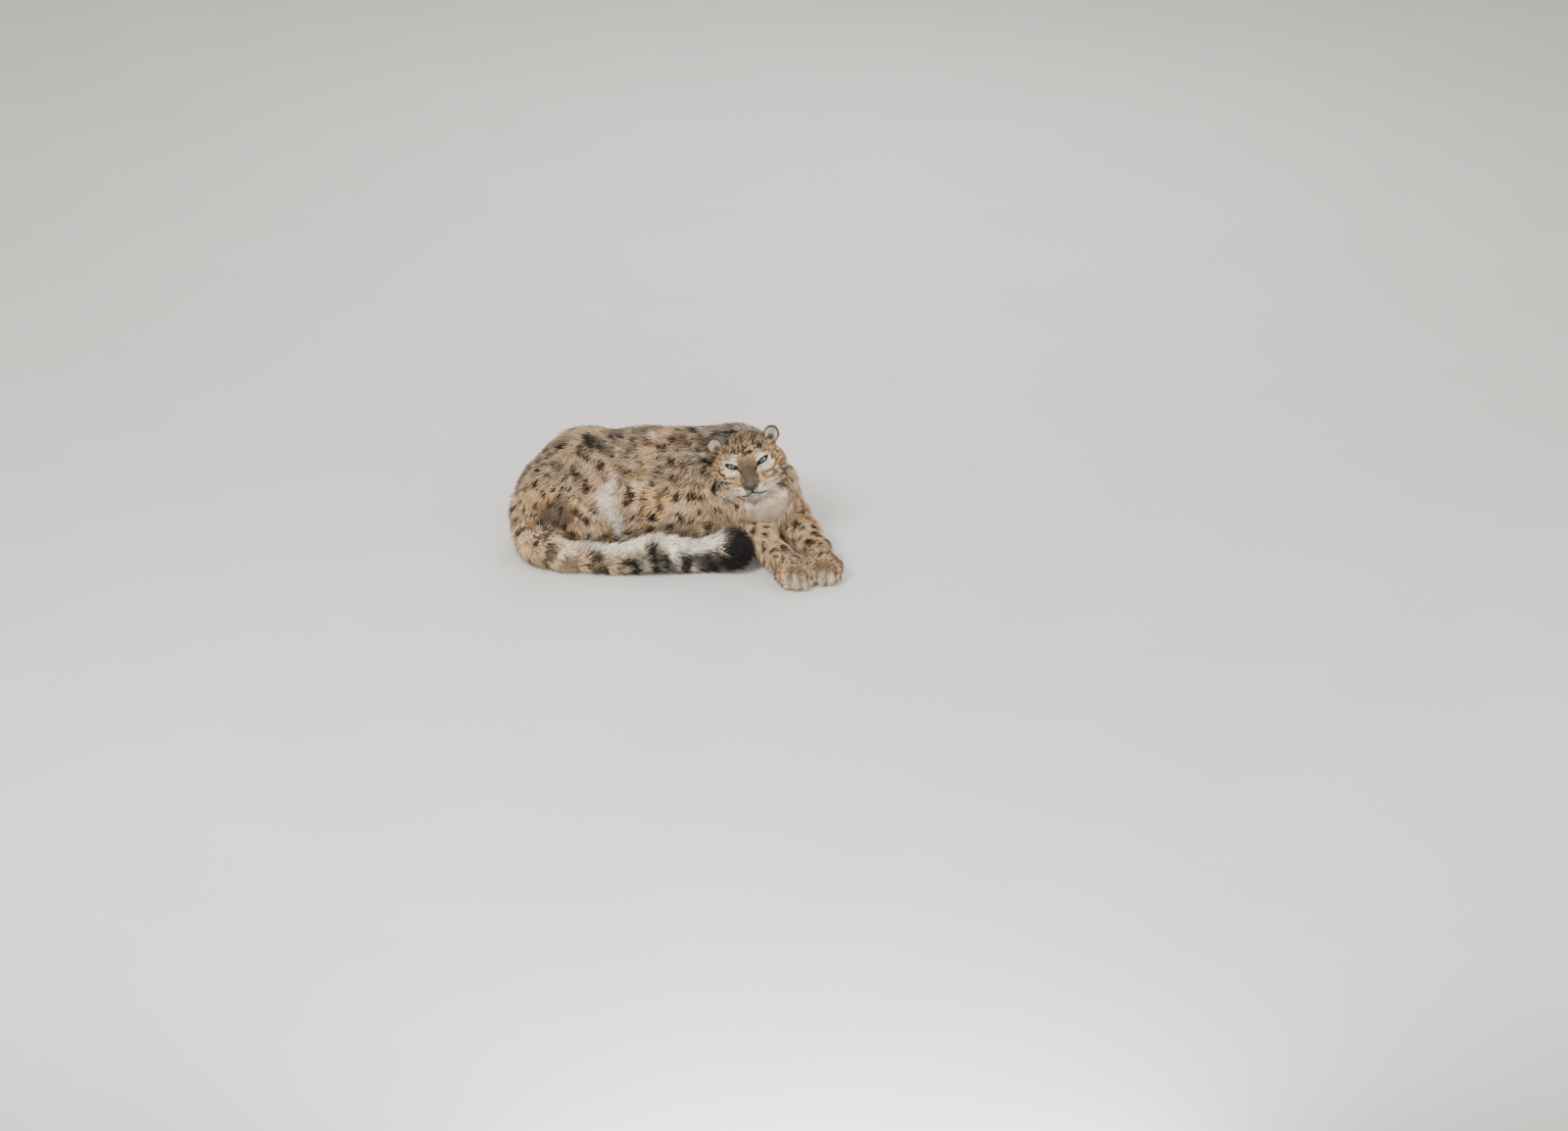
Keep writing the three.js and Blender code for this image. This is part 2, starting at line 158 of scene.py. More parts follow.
# The head's own frame: x to the animal's left, y out along the nose, z to the crown, 0 between the eyes
HEAD_AT = np.array([176, 86, 251.3])
HEAD_PITCH = math.radians(11)
HEAD_ROLL = math.radians(13.1)
HEAD_TURN = np.array(
    Matrix.Rotation(-HEAD_PITCH, 3, "X") @ Matrix.Rotation(-HEAD_ROLL, 3, "Y") @ Matrix.Diagonal((1, -1, 1)))
EYE_RADIUS = 13.5
EYE_X = 77.5 / 2
EYE_DEPTH = 13
HEAD = dict(blend=14, shapes=[
    ball((0, -62, 12), (62, 62, 50), 10),
    *both(ball((50, -42, -16), (36, 36, 32), 12)),
    *both(ball((60, -62, -44), (28, 30, 28), 16)),
    *both(limb((22, -16, 20), (46, -26, 14), 13, 13, 4)),
    limb((0, -24, 6), (0, 46, -27), 20, 15, 3),
    *both(limb((14, -16, -8), (12, 30, -34), 18, 17, 3)),
    *both(ball((17, 43, -46), (20, 21, 16), 3)),
    ball((0, 60, -36), (17, 9, 12), 0),
    limb((0, 36, -72), (0, 4, -72), 14, 22, 5),
    *both(limb((10, 30, -68), (44, -40, -50), 14, 24, 8))])
EARS = dict(blend=10, shapes=[
    *both(ball((72, -64, 46), (19, 9, 20), 3, -18)), *both(limb((52, -60, 22), (68, -65, 40), 21, 15, 3))])
EAR_HOLLOWS = dict(blend=1, shapes=both(ball((75, -51, 47), (13, 13, 15), 0, -18)))
EYE_HOLLOWS = dict(blend=1, shapes=both(ball((39, 5, -1), (17, 14, 10.5), 0)))
# Lids wrap each eyeball, under a heavy brow, and open in a narrow slit whose outer corner is higher
LIDS = dict(blend=6, shapes=[
    *both(ball((EYE_X, -EYE_DEPTH, 0), (16, 16, 16), 0)),
    *both(limb((EYE_X - 15, 0, 5), (EYE_X + 14, -9, 15), 5.5, 5, 0))])
LID_GAPS = dict(blend=1, shapes=[
    *both(limb((EYE_X - 14, -2, -5.7), (EYE_X - 2, 3, -1.2), 2.4, 4.7, 0)),
    *both(limb((EYE_X - 2, 3, -1.2), (EYE_X + 14, -3.5, 5.9), 4.7, 2.4, 0))])
# The face's hair is short, so its skin comes out nearer to the solid's surface than the coat's depth
CHEEKS = dict(blend=1, shapes=both(ball((50, -42, -15), (42, 42, 37), 0)))
MUZZLE = dict(blend=5, shapes=[
    *both(ball((14.5, 47, -53), (17, 17, 12), 0)), ball((0, 36, -78), (17, 15, 11), 0)])
# Seen from in front: the mouth's line out from under the nose, and the cleft down from the nose
MOUTH = ((0, -60), (12, -66.5), (24, -70.5), (35, -75))
CLEFT = ((0, -50), (0, -60))
NOSTRILS = both(ball((9.5, 62, -42), (5, 9, 3.4), 0, -25))
NOSE_TIP = np.array([0, 58, -40])
NOSE_PAD = dict(half_width=19.5, narrowing=0.62, top=-30, bottom=-55, front=40)
HEAD_JOIN = 16
HEAD_REACH = 190  # the head counts only this near its origin


def smooth_min(a, b, blend):
    h = np.maximum(blend - np.abs(a - b), 0) / blend
    return np.minimum(a, b) - h * h * blend / 4


def to_shape(p, shape, grow):
    """Signed distance to one limb or ball, with the coat's depth times grow over the skin."""
    coat = shape["coat"] * grow
    if "start" in shape:
        start, end = np.array(shape["start"], np.float32), np.array(shape["end"], np.float32)
        along = end - start
        t = np.clip((p - start) @ along / (along @ along), 0, 1)
        first, last = shape["radii"]
        return np.linalg.norm(p - start - t[:, None] * along, axis=1) - (first + t * (last - first)) - coat
    q = p - np.array(shape["centre"], np.float32)
    turn = math.radians(shape["yaw"])
    c, s = math.cos(turn), math.sin(turn)
    q = np.stack([q[:, 0] * c + q[:, 1] * s, q[:, 1] * c - q[:, 0] * s, q[:, 2]], 1)
    radii = np.array(shape["radii"], np.float32) + coat
    k = np.linalg.norm(q / radii, axis=1)
    return k * (k - 1) / np.maximum(np.linalg.norm(q / radii**2, axis=1), 1e-9)


def to_form(p, form, grow=0):
    distance = None
    for shape in form["shapes"]:
        d = to_shape(p, shape, grow)
        distance = d if distance is None else smooth_min(distance, d, form["blend"])
    return distance


def carve(d, hollow, blend):
    return -smooth_min(-d, hollow, blend)


def in_head(p):
    return (p - HEAD_AT.astype(p.dtype)) @ HEAD_TURN.astype(p.dtype)


def from_head(h):
    return np.asarray(h, float) @ HEAD_TURN.T + HEAD_AT


def to_head(h, grow, fine):
    """The head, from its own frame. fine adds the lids, the nostrils and the mouth's line."""
    d = to_form(h, HEAD, grow)
    if grow == 0:
        d = smooth_min(d, to_form(h, CHEEKS), 10)
    d = carve(d, to_form(h, EYE_HOLLOWS), 8)
    ears = carve(to_form(h, EARS, grow), to_form(h, EAR_HOLLOWS), 5)
    d = smooth_min(d, ears, 6)
    if grow == 0:
        d = smooth_min(d, to_form(h, LIDS), 5)
        d = smooth_min(d, to_form(h, MUZZLE), 5)
        d = carve(d, to_form(h, LID_GAPS), 2)
    if fine:
        d = carve(d, np.maximum(to_mouth(h) - 1.7, -d - 3.5), 2)
        for nostril in NOSTRILS:
            d = carve(d, to_shape(h, nostril, 0), 1.5)
    return d


def to_mouth(h):
    """Distance to the mouth's line and cleft, seen from in front."""
    flat = np.stack([np.abs(h[:, 0]), 0 * h[:, 1], h[:, 2]], 1)
    lines = [limb((a[0], 0, a[1]), (b[0], 0, b[1]), 0, 0, 0) for a, b in (*zip(MOUTH, MOUTH[1:]), CLEFT)]
    away = np.min([to_shape(flat, line, 0) for line in lines], axis=0)
    return np.where(h[:, 1] > 8, away, 99)


def on_nose(h, margin=0):
    """True on the nose pad, a shield that narrows downwards."""
    x, y, z = np.abs(h[:, 0]), h[:, 1], h[:, 2]
    half = NOSE_PAD["half_width"] - NOSE_PAD["narrowing"] * np.maximum(NOSE_PAD["top"] - 4 - z, 0) + margin
    level = (z > NOSE_PAD["bottom"] - margin) & (z < NOSE_PAD["top"] + margin)
    return (x < half) & level & (y > NOSE_PAD["front"])


def to_body(p, grow=0, fine=False):
    """Signed distance to the whole animal's skin, or with grow 1 to the tips of its coat."""
    body = None
    for name, form in FORMS.items():
        d = to_form(p, form, grow)
        body = d if body is None else smooth_min(body, d, form["join"])
    near = np.linalg.norm(p - HEAD_AT.astype(p.dtype), axis=1) < HEAD_REACH
    body[near] = smooth_min(body[near], to_head(in_head(p[near]), grow, fine), HEAD_JOIN)
    return body


def unit(ways):
    return ways / np.maximum(np.linalg.norm(ways, axis=1, keepdims=True), 1e-9)


def slope(field, p, step=0.4):
    """The field's outward unit slope."""
    steps = step * np.eye(3, dtype=p.dtype)
    return unit(np.stack([field(p + way) - field(p - way) for way in steps], 1))


# The part's frame is this one moved: the left eye's solid shows by how much.
SHIFT = np.array(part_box("eye_left")).mean(axis=0) / MM - from_head((EYE_X, -EYE_DEPTH, 0))


def placed(p):
    """Points of the body in metres, in the part's frame."""
    return (np.asarray(p) + SHIFT) * MM


# Markings, and painted shade between the toes and in the nostril pits

# The photograph looks down on the animal by this much, from in front of its flank
CAMERA_ELEVATION = math.radians(25)
UP_PICTURE = np.array((0, math.sin(CAMERA_ELEVATION), math.cos(CAMERA_ELEVATION)))
TO_CAMERA = np.array((0, -math.cos(CAMERA_ELEVATION), math.sin(CAMERA_ELEVATION)))
WAVES = np.random.default_rng(4).normal(size=(5, 8, 3))


def ripple(p, size, kind=0):
    """Smooth noise from -1 to 1, whose lumps are about size millimetres across."""
    phase = (p @ WAVES[kind].T.astype(p.dtype)) * (2.2 / size) + np.arange(8) * 1.7
    return np.sin(phase).sum(axis=1) / 3.2


def fade(low, high, x):
    """0 at low and beyond it, 1 at high and beyond it, and smooth between. low may be the greater."""
    t = np.clip((x - low) / (high - low), 0, 1)
    return t * t * (3 - 2 * t)


def regions(p):
    """The names of the forms and the head, and each point's distances to them in that order."""
    names = [*FORMS, "head"]
    distances = [to_form(p, FORMS[name]) for name in FORMS] + [to_head(in_head(p), 0, False)]
    return names, np.stack(distances, 1)


def from_pupil(x, z):
    """How far out from the pupil a place on the face is, along a slanting slit. x is without its sign."""
    return np.hypot((x - EYE_X) / 2, z - 0.42 * (x - EYE_X))


def batches(items, most):
    """The items in batches of about most, so that no array grows too big."""
    return np.array_split(items, max(1, len(items) // most))


def tail_place(p):
    """How far along the tail's line each point is, in millimetres, and how far up its side, -1 to 1."""
    line = TAIL[:, :3]
    lengths = np.r_[0, np.cumsum(np.linalg.norm(np.diff(line, axis=0), axis=1))]
    nearest = np.argmin(np.linalg.norm(p[:, None, :] - line[None], axis=2), axis=1)
    away = p - line[nearest]
    return lengths[nearest], away[:, 2] / np.maximum(np.linalg.norm(away, axis=1), 1)


MOST_TRIES = 3500  # places tried for spots on each form
# Spot sizes by region: spacing between centres, radius, and the share that are open rings
SPOTTING = {
    "trunk": (33, 10.5, 0.5), "neck": (22, 7.5, 0.1),
    "hindleg_right": (25, 8.5, 0.2), "hindleg_left": (30, 10, 0.4),
    "hindfoot_right": (20, 6, 0), "hindfoot_left": (20, 6, 0),
    "foreleg_right": (25, 8.5, 0), "foreleg_left": (25, 8.5, 0),
    "forepaw_right": (10, 4.6, 0), "forepaw_left": (10, 4.6, 0), "tail": (32, 13, 0), "head": (8, 4.1, 0),
}
# Single marks, where the camera sees them: across and up its picture from the pose's origin, half
# width, half height, and darkness
SEEN_MARKS = (
    (-192, 307, 15, 13, 0.95), (-173, 262, 13, 11, 0.95), (-215, 285, 7, 7, 0.9),
    (-240, 262, 7, 8, 0.85), (-216, 236, 7, 7, 0.8), (-262, 232, 8, 7, 0.8), (-278, 160, 54, 38, 0.74),
    (-98, 199, 7, 19, 0.8), (-65, 150, 7, 20, 0.75), (-22, 187, 8, 18, 0.75), (26, 151, 8, 17, 0.7),
    (218, 58, 8, 7, 0.95), (259, 55, 8, 7, 0.95), (245, 38, 8, 6, 0.95), (202, 34, 8, 8, 0.9),
    (300, 120, 9, 7, 0.95), (290, 84, 8, 7, 0.95), (322, 74, 8, 6, 0.95), (338, 91, 8, 6, 0.9),
    (353, 67, 7, 6, 0.9), (314, 146, 8, 6, 0.9), (247, 216, 7, 4, 0.9), (278, 204, 7, 4, 0.85),
)


class MarkingsAndShade:
    """Spots laid over the skin once, and read at any point of skin or coat."""

    def __init__(self, points, seed):
        rng = np.random.default_rng(seed)
        names, distances = regions(points)
        region = np.argmin(distances, axis=1)
        members = [np.flatnonzero(region == i) for i in range(len(names))]
        order = np.concatenate([rng.permutation(each)[:MOST_TRIES] for each in members])
        centres, radii, rings, spacings = [], [], [], []
        for i in order:
            spacing, radius, share = SPOTTING[names[region[i]]]
            p = points[i]
            if centres:
                near = np.linalg.norm(np.array(centres) - p, axis=1)
                if (near < np.minimum(np.array(spacings), spacing) * 0.9).any():
                    continue
            centres.append(p)
            spacings.append(spacing)
            radii.append(radius * rng.uniform(0.75, 1.2))
            rings.append(rng.random() < share)
        self.centres = np.array(centres, np.float32)
        self.radii = np.array(radii, np.float32)
        self.rings = np.array(rings)

    def spots(self, p):
        """How dark the spots make each point, from 0 to 1, and how far inside a ring it is."""
        dark = np.zeros(len(p), np.float32)
        inside = np.zeros(len(p), np.float32)
        for part in batches(np.arange(len(p)), 20000):
            q = p[part]
            wobble = ripple(q, 9, 1) * 0.22 + ripple(q, 22, 2) * 0.2
            square = (q**2).sum(axis=1)[:, None] + (self.centres**2).sum(axis=1) - 2 * q @ self.centres.T
            gap = np.sqrt(np.maximum(square, 0)) / self.radii + wobble[:, None]
            nearest = np.argmin(gap, axis=1)
            at = gap[np.arange(len(q)), nearest]
            ring = self.rings[nearest]
            solid = fade(1.05, 0.75, at)
            band = fade(0.5, 0.28, np.abs(at - 0.85)) * fade(-0.75, 0.1, ripple(q, 17, 3))
            dark[part] = np.where(ring, band, solid)
            inside[part] = np.where(ring, fade(0.9, 0.5, at), 0)
        return dark, inside

    def read(self, p, normal):
        """Dark, pale and warm amounts at points of the skin, with the outward normals there. Dark also holds
        painted shade between the toes and in the nostril pits.
        """
        p = p.astype(np.float32)
        names, distances = regions(p)
        region = np.argmin(distances, axis=1)
        dark, inside = self.spots(p)

        def is_a(*wanted):
            return np.isin(region, [names.index(name) for name in wanted])

        x, y, z = p.T
        down = -normal[:, 2]
        patch = ripple(p, 60, 0)
        warm = np.clip(0.85 + 0.25 * patch - 0.6 * fade(0.35, 0.9, normal[:, 2]), 0, 1)
        pale = np.maximum(fade(0.15, 0.7, down) * 0.85, 0.34 * fade(0.1, 0.8, ripple(p, 34, 3)) * warm)
        trunk = is_a("trunk")
        dark = np.where(trunk, np.maximum(dark, 0.35 * inside), dark)
        back = 0.6 * fade(0.1, 0.8, normal[:, 2]) * fade(-0.3, 0.6, ripple(p, 26, 4))
        dark = np.where(trunk, np.maximum(dark, back), dark)
        # The long white hair of the flank's fold, in front of the thigh
        off_fold = x + 138 + 0.16 * (z - 110) + 9 * np.sin(z / 20)
        fold = np.exp(-(off_fold / 21) ** 2) * (y < 175) * fade(225, 185, z) * trunk
        pale, dark = np.maximum(pale, fold), dark * (1 - 0.9 * fold)
        # The chest's bib and throat are cream
        leg_top = fade(95, 130, z) * fade(262, 235, x) * is_a("foreleg_right", "foreleg_left")
        bib = np.maximum(is_a("neck", "trunk"), leg_top) * fade(170, 100, y) * fade(130, 200, x + 14 * patch)
        pale, dark, warm = np.maximum(pale, 0.5 * bib), dark * (1 - 0.8 * bib), np.maximum(warm, 0.9 * bib)
        legs = is_a("foreleg_right", "foreleg_left", "forepaw_right", "forepaw_left") & (bib < 0.3)
        toes = np.maximum(
            fade(-98, -124, y) * is_a("forepaw_right"), fade(-66, -92, y) * is_a("forepaw_left"))
        pale = np.where(legs, np.maximum(np.minimum(pale, 0.45), 0.14 + 0.4 * toes), pale)
        warm = np.where(legs, 0.9, warm)
        dark = np.where(is_a("forepaw_right", "forepaw_left"), dark * (0.85 - 0.35 * toes), dark)
        # Painted shade: the creases between the forepaws' toes, ahead of the knuckles, are darkened
        for name, knuckles in (("forepaw_right", -78), ("forepaw_left", -46)):
            paw_toes = [to_shape(p, toe, 0) for toe in FORMS[name]["shapes"][2:]]
            first, second = np.sort(paw_toes, axis=0)[:2]
            gap = fade(6, 2, second - first) * fade(knuckles, knuckles - 16, y) * is_a(name)
            dark = np.maximum(dark, 0.6 * gap)
        facing = fade(-0.1, 0.35, normal @ TO_CAMERA)
        rise, ragged = p @ UP_PICTURE, 0.22 * ripple(p, 11, 2)
        for u, v, half_width, half_height, strength in SEEN_MARKS:
            reach = np.hypot((x - u) / half_width, (rise - v) / half_height) + ragged
            dark = np.maximum(dark, strength * facing * fade(1.15, 0.7, reach) * (~is_a("tail")))
        tail = is_a("tail")
        if tail.any():
            self.tail(p, tail, dark, pale, warm)
        head = is_a("head")
        if head.any():
            self.face(p, head, dark, pale, warm)
        return np.stack([dark, pale, warm], 1).clip(0, 1)

    def tail(self, p, tail, dark, pale, warm):
        """Near-black rings, open along the cream upper edge, and a black end."""
        q = p[tail]
        along, up = tail_place(q)
        end = np.linalg.norm(np.diff(TAIL[:, :3], axis=0), axis=1).sum()
        wander = along + 10 * ripple(q, 30, 1)
        rings = fade(0.4, 0.66, 0.5 + 0.5 * np.cos(wander * 2 * math.pi / 66))
        to_tip = fade(end - 420, end - 120, along)
        lower = fade(0.72, 0.3, up + 0.2 * ripple(q, 22, 2))
        blotches = lower * np.maximum(rings, 0.9 * to_tip * fade(-0.9, -0.1, ripple(q, 24, 3)))
        black_end = fade(end - 44, end - 14, wander + 16 * lower)
        root = fade(430, 250, along)
        dark[tail] = np.maximum(blotches * (1 - 0.75 * root), np.maximum(0.9 * dark[tail] * root, black_end))
        edge = fade(0.3, 0.7, up + 0.15 * ripple(q, 30, 4))
        pale[tail] = np.maximum(edge * (1 - 0.8 * root), 0.12 + 0.33 * to_tip) * (1 - black_end)
        warm[tail] = 0.9 - 0.45 * to_tip

    def face(self, p, head, dark, pale, warm):
        """Spotted brow and crown, grey-white round the eyes, white chin and lips, dark eye rims, and painted
        shade in the nostril pits.
        """
        q = p[head]
        h = in_head(q)
        x, y, z = np.abs(h[:, 0]), h[:, 1], h[:, 2]
        crown = fade(10, 26, z - 0.1 * x)
        back = fade(-38, -60, y)
        spots = dark[head] * np.max([crown, 0.9 * back, 0.8 * fade(52, 62, x)], axis=0) * 1.15
        flecks = 0.75 * crown * fade(0.25, 0.6, ripple(q, 6, 4)) * fade(-66, -40, y)
        nape = fade(-45, -80, y) * fade(10, 45, z) * fade(-0.5, 0.4, ripple(q, 9, 2))
        front = fade(-34, -14, y)
        rim = fade(9.6, 7.0, from_pupil(x, z)) * front
        corner = fade(4.5, 2.0, np.abs(z + 8.5 + 0.9 * (22 - x)))
        corner = corner * fade(13, 16, x) * fade(27, 24, x) * front
        patch_edge = np.hypot((x - EYE_X - 3) / 1.15, z + 5)
        spectacle = fade(3.4, 1.2, np.abs(patch_edge - 25)) * fade(EYE_X - 6, EYE_X + 2, x)
        spectacle = spectacle * fade(-0.5, 0.8, ripple(q, 20, 1) + 0.6)
        brow_line = fade(4, 1.6, np.abs(z - 22 + 0.02 * (x - 34) ** 2))
        brow_line = brow_line * fade(50, 42, x) * fade(12, 20, x) * front
        muzzle = fade(10, 28, y)
        cheek = fade(-18, -34, z) * fade(36, 50, x)
        sweep = np.sin((z * 1.1 - 0.55 * x) / 3.1 + 0.8 * ripple(q, 26, 1))
        lip_rows = muzzle * fade(17, 24, x) * fade(-74, -66, z) * fade(-30, -38, z)
        stripe = fade(0.35, 0.7, sweep) * (cheek + lip_rows) * 0.8
        bridge = fade(27, 17, x + 0.12 * (y - 20)) * fade(-34, 4, y) * fade(24, 6, z)
        edge = fade(4.5, 1.5, np.abs(x - 20 + 0.3 * np.maximum(-30 - z, 0)))
        edge = edge * fade(18, 34, y) * fade(-56, -46, z) * fade(-14, -24, z)
        mouth = fade(3.6, 1.9, to_mouth(h.astype(np.float32)))
        chin = fade(-60, -67, z) * fade(-16, 6, y) * fade(40, 30, x)
        under = np.maximum(chin, fade(-48, -54, z) * fade(10, 26, y))
        # Painted shade in the carved nostril pits, darkened as if shaded inside
        nostril = fade(1.3, 0.8, np.hypot((x - 10.5) / 5.5, (z + 43 - 0.35 * (x - 10)) / 3.4))
        nostril = nostril * fade(44, 50, y)
        rays = fade(0.5, 0.8, np.sin(np.arctan2(x, -61 - z) * 11)) * fade(13, 7, np.hypot(x, z + 61))
        rays = under * rays * 0.5
        ear = fade(30, 38, z) * fade(50, 56, x)
        rim_ear = fade(0.72, 0.86, np.hypot((x - 71) / 19, (z - 46) / 20)) * 0.95
        base_ear = fade(1, 0.5, np.hypot((x - 66) / 14, (z - 37) / 13)) * 0.85
        lines = [rim, corner, 0.8 * spectacle, 0.6 * brow_line, stripe, 0.75 * edge]
        face_dark = np.max([spots, flecks, 0.75 * nape, *lines], axis=0)
        face_dark = np.max([face_dark * (1 - under), mouth, rays, nostril], axis=0)
        face_dark = np.maximum(face_dark, (0.36 + 0.34 * fade(0, 36, y)) * bridge)
        dark[head] = np.clip(np.where(ear > 0.5, np.maximum(rim_ear, base_ear), face_dark), 0, 1)
        white_eye = fade(23, 17, patch_edge) * front
        white_brow = fade(10, 6, np.hypot((x - 28) * 0.8, z - 19)) * front
        whites = muzzle * fade(-38, -48, z)
        lights = [0.72 * white_eye, 0.6 * white_brow, 0.95 * whites, under, 0.3 * ear, 0.3 * cheek]
        light = np.max(lights, axis=0)
        pale[head] = np.clip(light * (1 - 0.9 * bridge * (1 - under)), 0, 1)
        warm[head] = np.clip(0.85 - 0.6 * bridge - 0.35 * crown - 0.4 * back, 0, 1)


# Meshes and materials


def linear(hex_colour):
    """An sRGB hex colour as linear RGBA."""
    values = [int(hex_colour[i:i + 2], 16) / 255 for i in (1, 3, 5)]
    return (*(c / 12.92 if c <= 0.04045 else ((c + 0.055) / 1.055) ** 2.4 for c in values), 1)


def add(tree, kind, inputs=None, **settings):
    """Adds a node, sets it up, and fills its inputs with values or links."""
    node = tree.nodes.new(kind)
    for name, value in settings.items():
        setattr(node, name, value)
    for name, value in (inputs or {}).items():
        if isinstance(value, bpy.types.NodeSocket):
            tree.links.new(value, node.inputs[name])
        else:
            node.inputs[name].default_value = value
    return node


def material(name, **sockets):
    made = bpy.data.materials.new(name)
    made.use_nodes = True
    shader = made.node_tree.nodes["Principled BSDF"]
    for socket, value in sockets.items():
        shader.inputs[socket.replace("_", " ")].default_value = value
    return made, made.node_tree, shader


def mixed(tree, factor, a, b, blend="MIX"):
    node = add(tree, "ShaderNodeMix", {0: factor, 6: a, 7: b}, data_type="RGBA", blend_type=blend)
    return node.outputs[2]


def shaded(tree, colour, factor, low, high):
    """The colour times a shade that goes from low to high with the factor."""
    return mixed(tree, 1.0, colour, mixed(tree, factor, (*low, 1), (*high, 1)), "MULTIPLY")


def pattern(tree, lumps, kind="ShaderNodeTexNoise", **inputs):
    """A pattern over the object's own shape, with so many lumps to the metre."""
    place = add(tree, "ShaderNodeTexCoord").outputs["Object"]
    return add(tree, kind, {"Vector": place, "Scale": lumps, **inputs}).outputs[0]


def spread(tree, value, low, high, start, end):
    """The value from low to high, as a value from start to end."""
    return add(tree, "ShaderNodeMapRange", {0: value, 1: low, 2: high, 3: start, 4: end}).outputs[0]


def connect(tree, shader, colour, height=None, depth=0.0):
    """Gives the shader its colour, and a bump of the height's pattern that is depth metres deep."""
    tree.links.new(colour, shader.inputs["Base Color"])
    if height is not None:
        bump = add(tree, "ShaderNodeBump", {"Strength": 0.5, "Distance": depth, "Height": height})
        tree.links.new(bump.outputs[0], shader.inputs["Normal"])


def channels(tree, attribute):
    """The three values that a mesh attribute holds at each point."""
    value = add(tree, "ShaderNodeAttribute", attribute_name=attribute).outputs[0]
    return add(tree, "ShaderNodeSeparateColor", {0: value}).outputs


def marked_colour(tree, looks, cream_locks=0.0):
    """The coat's colour from its markings: grey back to tan flank, then cream, then the dark spots and the
    painted shade between the toes.
    """
    marks_and_shade = channels(tree, "marks_and_shade")
    ground = mixed(tree, marks_and_shade[2], tuple(looks.grey), tuple(looks.tan))
    ground = mixed(tree, marks_and_shade[1], ground, tuple(looks.cream))
    # Patches of lighter and darker hair about 18 mm across
    lighter = spread(tree, pattern(tree, 55.0, Detail=4.0), 0.35, 0.65, 0.0, 1.0)
    ground = shaded(tree, ground, lighter, (0.78, 0.74, 0.7), (1.18, 1.18, 1.18))
    ground = mixed(tree, cream_locks, ground, tuple(looks.cream))
    # The spots' colour also paints the shade in the creases between the toes
    return mixed(tree, marks_and_shade[0], ground, tuple(looks.spot_and_shade))


def fur_material(looks):
    """Guard hair over wool: matt, a little glossy along each lock, paler at the tips."""
    made, tree, shader = material(
        "guard-hair coat", Roughness=0.7, IOR=1.5, Specular_IOR_Level=0.3, Sheen_Weight=0.05)
    along, chance, other_chance = channels(tree, "tuft")
    colour = marked_colour(tree, looks, spread(tree, chance, 0.6, 1.0, 0.0, 0.4))
    colour = shaded(tree, colour, other_chance, (0.85, 0.84, 0.83), (1.17, 1.17, 1.16))
    colour = shaded(tree, colour, along, (0.76, 0.74, 0.72), (1.16, 1.16, 1.16))
    connect(tree, shader, colour)
    return made


def skin_material(looks):
    """Skin under short flat hair: the coat's own colours, a little darker as painted shade under the tufts,
    with a fine hairy bump.
    """
    made, tree, shader = material("short flat fur", Roughness=0.85, IOR=1.45, Specular_IOR_Level=0.3)
    colour = marked_colour(tree, looks)
    # Painted shade: a little darker than the coat, as if in the shade of the tufts over it
    colour = mixed(tree, 1.0, colour, (0.9, 0.89, 0.88, 1), "MULTIPLY")
    # The bump's lumps are about 1.5 mm wide, coarser than the hairs themselves
    connect(tree, shader, colour, pattern(tree, 650.0, Detail=3.0), 0.0012)
    return made


def nose_material(looks):
    """Nose leather: bare damp skin with a pebble of about 1 mm, so it shines softly."""
    made, tree, shader = material(
        "nose leather", Roughness=0.42, IOR=1.45, Coat_Weight=0.15, Coat_Roughness=0.3)
    colour = mixed(tree, pattern(tree, 90.0), tuple(looks.nose), linear("#634F42"))
    # Near-black where the dark channel is high: the cleft, and the painted shade in the nostril pits
    colour = mixed(tree, channels(tree, "marks_and_shade")[0], colour, linear("#191413"))
    connect(tree, shader, colour, pattern(tree, 900.0, "ShaderNodeTexVoronoi"), 0.0006)
    return made


def eye_material(looks):
    """A wet eye: pale grey-green iris with dark rim and threads, a round pupil and a clear gloss."""
    made, tree, shader = material("cornea", Roughness=0.06, IOR=1.38, Coat_Weight=1.0, Coat_Roughness=0.02)
    radius, turn, _ = channels(tree, "eye")
    threads = add(tree, "ShaderNodeTexNoise", {"W": turn, "Scale": 60.0, "Detail": 2.0},
                  noise_dimensions="1D").outputs[0]
    iris = mixed(tree, threads, tuple(looks.iris), linear("#525C4F"))
    ramp = add(tree, "ShaderNodeValToRGB", {0: radius})
    # How much iris shows from the middle outwards: none in the pupil, and little past the iris's rim
    bands = [(0.0, 0), (0.27, 0), (0.31, 1), (0.48, 0.7), (0.58, 0.08), (0.7, 0.04), (1.0, 0.02)]
    stops = ramp.color_ramp.elements
    for place, value in bands:
        stop = stops.new(place) if 0 < place < 1 else stops[0 if place == 0 else -1]
        stop.color = (value, value, value, 1)
    connect(tree, shader, mixed(tree, ramp.outputs[0], linear("#0B0907"), iris))
    return made


def whisker_material():
    """Whiskers: stiff pale keratin, smooth enough to catch the light."""
    made, tree, shader = material("whisker keratin", Roughness=0.35, IOR=1.55)
    connect(tree, shader, mixed(tree, pattern(tree, 60.0), linear("#F2EFE6"), linear("#CFC8BA")))
    return made


def linked(name, data):
    made = bpy.data.objects.new(name, data)
    bpy.context.scene.collection.objects.link(made)
    return made


def mesh_object(name, vertices, faces, materials):
    """A mesh object from points, and faces with any number of corners."""
    mesh = bpy.data.meshes.new(name)
    mesh.from_pydata(vertices, [], faces)
    for each in materials:
        mesh.materials.append(each)
    return linked(name, mesh)


